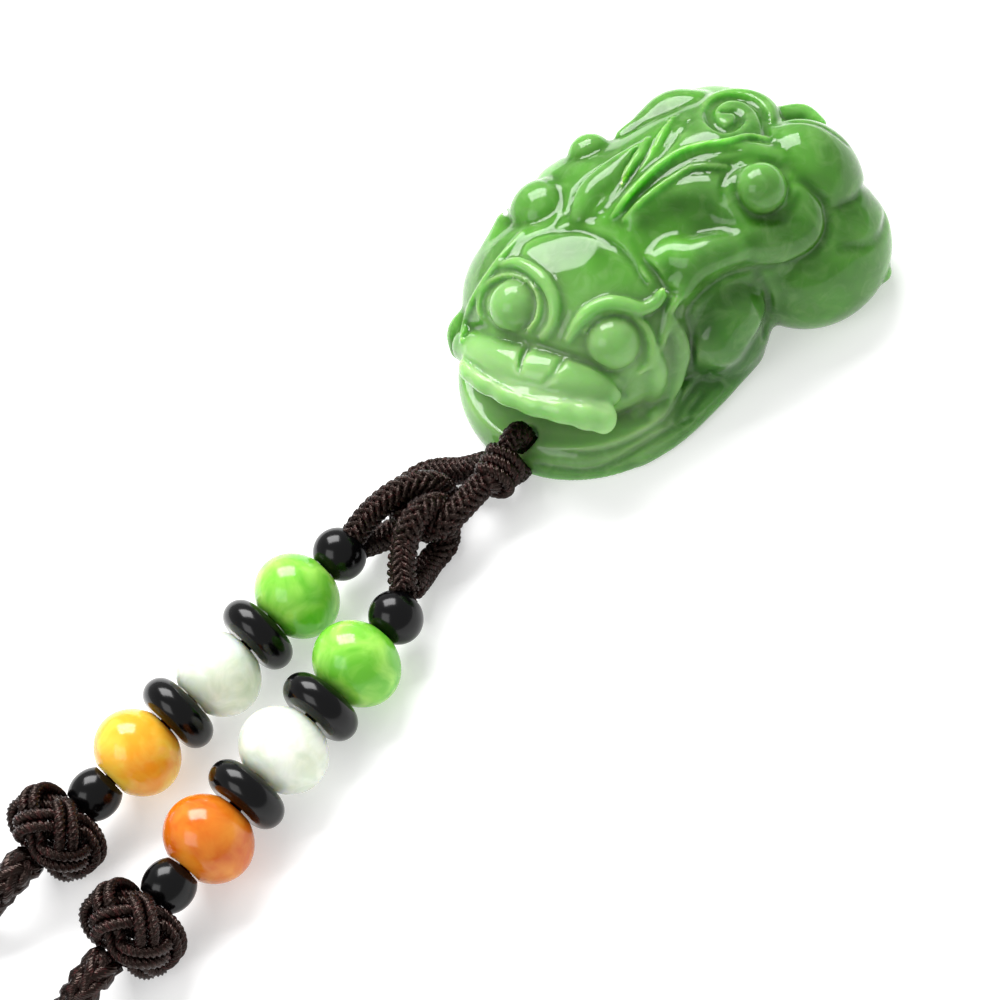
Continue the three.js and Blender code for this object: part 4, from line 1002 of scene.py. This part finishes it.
def round_profile(diameter, length, end_diameter, bore, count):
    """Half the section of a bead: from the bore over a bulging side back to the bore."""
    half = length / 2
    squash = half / math.sqrt(1 - (end_diameter / diameter) ** 2)
    ys = -half * np.cos(np.arange(count + 1) * math.pi / count)
    side = [(diameter / 2 * math.sqrt(1 - (y / squash) ** 2), y) for y in ys]
    return [(bore / 2, -half), *side, (bore / 2, half)]


def disc_profile(diameter, length, bore, count):
    """Half the section of a disc with a round edge."""
    edge = length / 2
    turns = -math.pi / 2 + np.arange(count + 1) * math.pi / count
    side = [(diameter / 2 - edge + edge * math.cos(t), edge * math.sin(t)) for t in turns]
    return [(bore / 2, -edge), *side, (bore / 2, edge)]


def level_across(axis):
    """The level direction across an axis."""
    across = np.cross(axis, (0.0, 0.0, 1.0))
    return across / np.linalg.norm(across)


def turned(profile, centre, axis, sides=56):
    """A closed ring of the profile turned round an axis."""
    axis = np.asarray(axis) / np.linalg.norm(axis)
    across = level_across(axis)
    other = np.cross(axis, across)
    turn = np.arange(sides) * 2 * math.pi / sides
    ring = np.cos(turn)[:, None] * across + np.sin(turn)[:, None] * other
    rows = [centre + r * ring + y * axis for r, y in profile]
    return np.vstack(rows), ring_faces(len(profile), sides, closed=True)


STRANDS = {"left": "amber", "right": "orange"}
# Each coloured stone: its name, its pale clouds, their size and how far light spreads in it
STONES = {
    "green": ("green_chalcedony", "#a4dc62", 3.2 * MM, 3.0 * MM),
    "white": ("white_chalcedony", "#f4f8ec", 3.0 * MM, 4.5 * MM),
    "amber": ("amber_chalcedony", "#fccf54", 3.4 * MM, 4.0 * MM),
    "orange": ("orange_carnelian", "#d98c2c", 3.4 * MM, 3.5 * MM),
}
# The flat ends of the beads, across
ROUND_END, LARGE_END, BARREL_END = 2.6, 3.6, 3.4


def box_middle(node):
    """The middle of a node of the solid model, in the carver's frame."""
    low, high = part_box(node)
    return ((np.array(low) + np.array(high)) / 2 - OFFSET) / MM


def box_size(node):
    """A node's size along the three axes, in millimetres."""
    low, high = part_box(node)
    return (np.array(high) - np.array(low)) / MM


def strand_axis(side):
    """The line of a strand, from the middle of its first bead to the middle of its last."""
    start, end = box_middle(f"{side}_black_round"), box_middle(f"{side}_black_barrel")
    return start, (end - start) / np.linalg.norm(end - start)


def on_strand(side, node):
    """The point of a strand's line beside the middle of a node."""
    start, axis = strand_axis(side)
    return start + axis * ((box_middle(node) - start) @ axis)


class OBJECT_OT_beads(bpy.types.Operator):
    """Turns every bead of both strands"""
    bl_idname = "pendant.beads"
    bl_label = "Beads"

    def execute(self, context):
        s, c = context.scene.pendant_sizes, context.scene.pendant_colours
        bore = s.bead_bore / MM
        profiles = {
            "round": round_profile(s.round_diameter / MM, s.round_length / MM, ROUND_END, bore, 20),
            "bead": round_profile(s.bead_diameter / MM, s.bead_length / MM, LARGE_END, bore, 28),
            "disc": disc_profile(s.disc_diameter / MM, s.disc_length / MM, bore, 20),
            "barrel": round_profile(s.barrel_diameter / MM, s.barrel_length / MM, BARREL_END, bore, 18),
        }
        stones = {key: cloudy_stone(name, getattr(c, f"{key}_stone"), linear(pale), cloud_size, glow_reach)
                  for key, (name, pale, cloud_size, glow_reach) in STONES.items()}
        stones["black"] = black_onyx(c)
        for side, last in STRANDS.items():
            _, axis = strand_axis(side)
            for name in ("black_round", "green_bead", "black_disc_1", "white_bead", "black_disc_2",
                         f"{last}_bead", "black_barrel"):
                node = f"{side}_{name}"
                colour, shape = name.split("_")[:2]
                points, faces = turned(profiles[shape], on_strand(side, node), axis)
                add_piece(f"stone_{node}", points, faces, stones[colour], [node])
        return {"FINISHED"}


# Cords and knots. The loops follow the cords' own bends more closely than the solid model's do.

WRAP_KNOT_CENTRE = (10.5, -22.2, 4.6)
LINK_LOOP = [
    (8.4, -22.7, 3.6), (7.5, -24.1, 3.0), (6.5, -25.4, 2.4), (5.2, -26.8, 2.0), (4.4, -28.3, 1.8),
    (4.3, -29.8, 1.7), (5.0, -31.1, 1.9), (7.1, -31.9, 3.0), (9.5, -32.0, 4.0), (11.0, -31.5, 4.0),
    (12.3, -30.5, 4.3), (13.0, -29.1, 4.8), (12.6, -27.5, 5.0), (11.8, -26.0, 4.8), (11.0, -24.6, 4.5),
    (10.4, -23.4, 4.3),
]
LEFT_EYE_LOOP = [
    (9.3, -37.1, 5.0), (8.7, -35.5, 5.5), (8.3, -33.7, 5.9), (8.1, -31.8, 6.1), (8.1, -30.1, 6.0),
    (8.2, -28.6, 5.3), (8.4, -27.8, 4.0), (8.5, -27.8, 2.4), (8.5, -28.8, 1.5), (8.3, -30.5, 1.5),
    (8.1, -32.4, 1.5), (8.3, -34.2, 1.5), (8.6, -35.7, 2.1), (9.1, -37.0, 3.2),
]
RIGHT_EYE_LOOP = [
    (18.0, -35.1, 5.2), (16.3, -34.6, 5.4), (14.8, -33.9, 5.5), (13.6, -33.0, 5.9), (12.9, -31.9, 6.7),
    (12.1, -30.5, 6.9), (11.4, -29.4, 6.1), (10.9, -28.6, 4.6), (10.6, -28.6, 2.5), (11.2, -29.2, 1.5),
    (12.6, -30.0, 1.5), (13.6, -32.0, 1.5), (15.0, -33.4, 2.1), (16.5, -34.6, 3.2),
]
LEFT_RUN = [(24.6, -84.0, 2.2), (24.6, -87.0, 1.85), (22.6, -89.2, 1.85)]
OVER_THE_COIL = [(43.2, -101.5, 5.5), (41.2, -95.6, 4.6)]
RIGHT_RUN = [(38.8, -90.4, 3.0), (38.2, -86.0, 2.05), (38.2, -82.0, 1.85), (38.3, -78.0, 2.3)]


def hole_to_knot():
    """The level direction from the cord's hole to the wrap knot."""
    way = np.array(WRAP_KNOT_CENTRE[:2]) - np.array(CORD_HOLE)
    return way / np.linalg.norm(way)


def hole_loop_line():
    """Out of the wrap knot, over the jaw's edge, down the hole and back under the jaw."""
    way = hole_to_knot()
    profile = [(out, JAW_THICKNESS + over) for out, over in (
        (3.6, 1.0), (2.6, 1.3), (1.6, 1.45), (0.7, 1.3), (0.1, 0.5), (0.0, -1.0))]
    profile += [(0.1, 2.0), (0.8, 1.3), (1.9, 1.3), (3.0, 1.8), (3.7, 2.8)]
    return [(CORD_HOLE[0] + way[0] * out, CORD_HOLE[1] + way[1] * out, z) for out, z in profile]


# Strands in a round braid, the length in which one goes round, and the spacing of its points
BRAID_STRANDS = 12
LOOP_PITCH, HOLE_LOOP_PITCH, NECK_PITCH = 4.6, 4.4, 11.0
LOOP_STEP, NECK_STEP = 0.16, 0.7
# How far beyond a button knot the neck cord's first two points lie, and how far apart all of them do
KNOT_EXIT, NECK_ROUTE_STEP = (0.3, 3.6), 0.75


class OBJECT_OT_loops(bpy.types.Operator):
    """Braids the loops between the beast and the strands"""
    bl_idname = "pendant.loops"
    bl_label = "Loops"

    def execute(self, context):
        s = context.scene.pendant_sizes
        thick, thin = s.loop_diameter / MM, s.hole_loop_diameter / MM
        for node, route, diameter, pitch in (
                ("link_loop", LINK_LOOP, thick, LOOP_PITCH),
                ("left_eye_loop", LEFT_EYE_LOOP, thick, LOOP_PITCH),
                ("right_eye_loop", RIGHT_EYE_LOOP, thick, LOOP_PITCH),
                ("hole_loop", hole_loop_line(), thin, HOLE_LOOP_PITCH)):
            mesh = braid_mesh(smooth_line(route, 8), diameter, BRAID_STRANDS, pitch, LOOP_STEP)
            add_cord(f"braided_{node}", mesh, node)
        return {"FINISHED"}


# The knots' thin cord is laid from plies that turn once in this length
KNOT_PLIES, KNOT_PLY_DEPTH, KNOT_TWIST = 5, 0.28, 2.5
KNOT_SIDES, WRAP_STEP = 20, 0.12
# The wrap: the radius of its turns, its cord's diameter, its turns and its length along the loop
WRAP_RADIUS, WRAP_CORD, WRAP_TURNS, WRAP_LENGTH = 1.55, 1.3, 2.9, 3.1
# The ribbed core inside the wrap: how far it stands out, its ribs, their depth and their turn
CORE_STANDS_OUT, CORE_RIBS, CORE_RIB_DEPTH, CORE_TWIST = 0.7, 10, 0.2, 6.0


class OBJECT_OT_wrap_knot(bpy.types.Operator):
    """Winds the knot that holds the loop at the jaw"""
    bl_idname = "pendant.wrap_knot"
    bl_label = "Wrap knot"

    def execute(self, context):
        centre = np.array(WRAP_KNOT_CENTRE)
        ahead = np.array([*hole_to_knot(), 0.0])
        up = np.array([0.0, 0.0, 1.0])
        t = np.linspace(0, 1, 160)[:, None]
        angle = 2 * math.pi * WRAP_TURNS * t
        line = (centre + ahead * (t - 0.5) * WRAP_LENGTH
                + WRAP_RADIUS * (np.cos(angle) * np.cross(ahead, up) + np.sin(angle) * up))
        wrap = tube_mesh(spaced(line, WRAP_STEP), WRAP_CORD / 2, KNOT_SIDES,
                         KNOT_PLIES, KNOT_PLY_DEPTH, KNOT_TWIST)
        share = np.linspace(-1, 1, 60)
        core_line = centre + ahead * share[:, None] * (WRAP_LENGTH / 2 + CORE_STANDS_OUT)
        core_radius = WRAP_RADIUS * np.sqrt(1.01 - share ** 4)
        core = tube_mesh(core_line, core_radius, KNOT_SIDES, CORE_RIBS, CORE_RIB_DEPTH, CORE_TWIST)
        add_cord("wound_wrap_knot", joined([wrap, core]), "wrap_knot")
        return {"FINISHED"}


# The button knot's cord goes round three times with five bends at each end
KNOT_ROUNDS, KNOT_BENDS = 3, 5


def button_line(diameter, length, cord, shift):
    """One cord of the woven ball: three times round it with five bends at each end."""
    count, over_and_under, end_latitude = 900, 0.55 * cord, 0.98
    t = np.arange(count) * 2 * math.pi / count
    radius = diameter / 2 - over_and_under - over_and_under * np.sin(2 * KNOT_BENDS * t)
    latitude = end_latitude * np.sin(KNOT_BENDS * t)
    line = np.stack([radius * np.cos(latitude) * np.cos(KNOT_ROUNDS * t),
                     radius * np.sin(latitude) * length / diameter,
                     radius * np.cos(latitude) * np.sin(KNOT_ROUNDS * t)], axis=1)
    ahead = np.roll(line, -1, axis=0) - np.roll(line, 1, axis=0)
    beside = np.cross(ahead, line)
    beside /= np.linalg.norm(beside, axis=1)[:, None]
    return line + shift * beside


# The thread's plies and their twist, and how far its ends stay inside those of the solid model
THREAD_PLIES, THREAD_PLY_DEPTH, THREAD_TWIST, THREAD_SHORT = 3, 0.2, 2.4, 0.3


class OBJECT_OT_button_knots(bpy.types.Operator):
    """Weaves the button knots from a doubled cord, and twists the threads through the beads"""
    bl_idname = "pendant.button_knots"
    bl_label = "Button knots"

    def execute(self, context):
        s = context.scene.pendant_sizes
        thickness = s.knot_cord_diameter / MM
        for side in STRANDS:
            node = f"{side}_button_knot"
            _, axis = strand_axis(side)
            across = level_across(axis)
            turn = np.stack([across, axis, np.cross(across, axis)])
            parts = []
            for shift in (-0.5, 0.5):
                line = button_line(s.knot_diameter / MM, s.knot_length / MM, thickness, shift * thickness)
                parts.append(tube_mesh(line @ turn + on_strand(side, node), thickness / 2, KNOT_SIDES,
                                       KNOT_PLIES, KNOT_PLY_DEPTH, KNOT_TWIST, closed=True))
            add_cord(f"woven_{node}", joined(parts), node)
            node = f"{side}_thread"
            reach = 0.5 * np.linalg.norm(box_size(node)) - THREAD_SHORT
            line = on_strand(side, node) + axis * np.linspace(-reach, reach, 200)[:, None]
            radius = s.thread_diameter / MM / 2
            thread = tube_mesh(line, radius, 12, THREAD_PLIES, THREAD_PLY_DEPTH, THREAD_TWIST)
            add_cord(f"twisted_{node}", thread, node)
        return {"FINISHED"}


def eased_step(t):
    """From 0 to 1 with a slow start and a slow end."""
    t = min(max(t, 0.0), 1.0)
    return t * t * (3 - 2 * t)


# The coil: radii of the turns on the table and of those in the grooves between them, the angle at
# which the cord comes in, its turns, and the share of a turn in which it moves over to the next one
LOW_TURNS, HIGH_TURNS = (23.6, 20.0, 16.4), (18.2, 21.8)
COIL_ENTRY, COIL_TURNS, COIL_SHIFT = math.radians(110), 4.75, 0.14
# A round cord that lies on two others side by side is raised by this share of its diameter
NESTED_RISE = 0.866


def coil_line(braid):
    """Three turns side by side on the table and two more in the grooves between them."""
    per_turn = 48
    raised = braid / 2 + NESTED_RISE * braid
    rows = [(radius, braid / 2) for radius in LOW_TURNS] + [(radius, raised) for radius in HIGH_TURNS]
    points = []
    for i in range(round(COIL_TURNS * per_turn) + 1):
        turn = i / per_turn
        row = min(int(turn), len(rows) - 1)
        late = eased_step((turn - row - 1 + COIL_SHIFT) / COIL_SHIFT)
        here, following = rows[row], rows[min(row + 1, len(rows) - 1)]
        radius, height = (a + late * (b - a) for a, b in zip(here, following))
        angle = COIL_ENTRY + 2 * math.pi * turn
        x, y = COIL_CENTRE
        points.append((x + radius * math.cos(angle), y + radius * math.sin(angle), height))
    return points


def knot_exit(side):
    """Where the neck cord leaves a button knot, and a point a little further on."""
    _, axis = strand_axis(side)
    half = bpy.context.scene.pendant_sizes.knot_length / MM / 2
    knot = on_strand(side, f"{side}_button_knot")
    return [tuple(knot + axis * (half + out)) for out in KNOT_EXIT]


class OBJECT_OT_neck_cord(bpy.types.Operator):
    bl_idname = "pendant.neck_cord"
    bl_label = "Neck cord"

    def execute(self, context):
        s = context.scene.pendant_sizes
        braid = s.braid_diameter / MM
        route = [*knot_exit("left"), *LEFT_RUN, *coil_line(braid), *OVER_THE_COIL, *RIGHT_RUN,
                 *knot_exit("right")[::-1]]
        line = spaced(smooth_line(route, 4), NECK_ROUTE_STEP)
        neck = add_cord("braided_neck_cord", braid_mesh(line, braid, BRAID_STRANDS, NECK_PITCH, NECK_STEP),
                        "neck_cord_left", "neck_cord_coil", "neck_cord_right")
        return {"FINISHED"}


# Stage

TABLE_HALF_WIDTH = 1.6
# The table lies this little under the object, so that the two don't share a plane
TABLE_DROP = 0.05 * MM
ROOM_LIGHT = 0.52
LENS, SENSOR_WIDTH = 86.4, 36.0
TABLE_COLOUR, TABLE_GLOW = "#d4d4d4", 0.45
LAMP_TARGET = (0.0, -0.03, 0.005)
# Name, direction from the target, distance, width and height in metres, and watts
SOFTBOXES = (
    ("key_softbox", (-0.56, 0.13, 0.80), 0.48, 0.36, 0.28, 4.0),
    ("fill_softbox", (0.3, -0.8, 0.9), 0.7, 0.4, 0.4, 1.6),
)


def placing(across, up, back, place):
    """The matrix that turns an object to three axes and puts it at a place."""
    matrix = np.eye(4)
    matrix[:3, 0], matrix[:3, 1], matrix[:3, 2], matrix[:3, 3] = across, up, back, place
    return Matrix(matrix.tolist())


def add_softbox(name, direction, distance, width, height, watts):
    """A lamp with its width level in the picture, which faces the object from a direction."""
    data = bpy.data.lights.new(name, "AREA")
    data.shape, data.size, data.size_y, data.energy = "RECTANGLE", width, height, watts
    towards = np.array(direction) / np.linalg.norm(direction)
    across = SHEET_AXIS_RIGHT - towards * (SHEET_AXIS_RIGHT @ towards)
    across /= np.linalg.norm(across)
    lamp = bpy.data.objects.new(name, data)
    place = np.array(LAMP_TARGET) + towards * distance
    lamp.matrix_world = placing(across, np.cross(towards, across), towards, place)
    bpy.context.scene.collection.objects.link(lamp)


class OBJECT_OT_stage(bpy.types.Operator):
    """Sets the pale table, the soft lamps and the camera"""
    bl_idname = "pendant.stage"
    bl_label = "Stage"

    def execute(self, context):
        scene = context.scene
        half = TABLE_HALF_WIDTH
        mesh = bpy.data.meshes.new("table_top")
        corners = [(-half, -half, 0), (half, -half, 0), (half, half, 0), (-half, half, 0)]
        mesh.from_pydata(corners, [], [(0, 1, 2, 3)])
        mesh.materials.append(glowing_card(TABLE_COLOUR, TABLE_GLOW))
        table = bpy.data.objects.new("table_top", mesh)
        table.location.z = -TABLE_DROP
        scene.collection.objects.link(table)
        world = bpy.data.worlds.new("soft_room")
        world.use_nodes = True
        background = world.node_tree.nodes["Background"]
        background.inputs["Color"].default_value = (1.0, 1.0, 1.0, 1.0)
        background.inputs["Strength"].default_value = ROOM_LIGHT
        scene.world = world
        for softbox in SOFTBOXES:
            add_softbox(*softbox)
        camera_data = bpy.data.cameras.new("photo_camera")
        camera_data.lens, camera_data.sensor_width = LENS, SENSOR_WIDTH
        camera_data.clip_start, camera_data.clip_end = 0.01, 10.0
        camera = bpy.data.objects.new("photo_camera", camera_data)
        camera.matrix_world = placing(SHEET_AXIS_RIGHT, SHEET_AXIS_UP, TO_EYE, EYE * MM + OFFSET)
        scene.collection.objects.link(camera)
        scene.camera = camera
        scene.view_settings.view_transform = "Standard"
        return {"FINISHED"}


class VIEW3D_PT_pendant(bpy.types.Panel):
    """Lists the pendant's pieces"""
    bl_label = "Pendant"
    bl_idname = "VIEW3D_PT_pendant"
    bl_space_type = "VIEW_3D"
    bl_region_type = "UI"
    bl_category = "Pendant"

    def draw(self, context):
        for operator in OPERATORS:
            self.layout.operator(operator.bl_idname)
        for group in (context.scene.pendant_sizes, context.scene.pendant_colours):
            for name in group.bl_rna.properties.keys():
                if name not in ("rna_type", "name"):
                    self.layout.prop(group, name)


OPERATORS = (OBJECT_OT_stage, OBJECT_OT_jade_pixiu, OBJECT_OT_beads, OBJECT_OT_loops, OBJECT_OT_wrap_knot,
             OBJECT_OT_button_knots, OBJECT_OT_neck_cord)
CLASSES = (PendantSizes, PendantColours, *OPERATORS, VIEW3D_PT_pendant)


def register():
    for cls in CLASSES:
        bpy.utils.register_class(cls)
    bpy.types.Scene.pendant_sizes = bpy.props.PointerProperty(type=PendantSizes)
    bpy.types.Scene.pendant_colours = bpy.props.PointerProperty(type=PendantColours)


def unregister():
    del bpy.types.Scene.pendant_colours
    del bpy.types.Scene.pendant_sizes
    for cls in reversed(CLASSES):
        bpy.utils.unregister_class(cls)


def main():
    """Builds the stage and every piece."""
    register()
    waxed_cord(bpy.context.scene.pendant_colours)
    bpy.ops.pendant.stage()
    bpy.ops.pendant.jade_pixiu()
    bpy.ops.pendant.beads()
    bpy.ops.pendant.loops()
    bpy.ops.pendant.wrap_knot()
    bpy.ops.pendant.button_knots()
    bpy.ops.pendant.neck_cord()


if __name__ == "__main__":
    main()
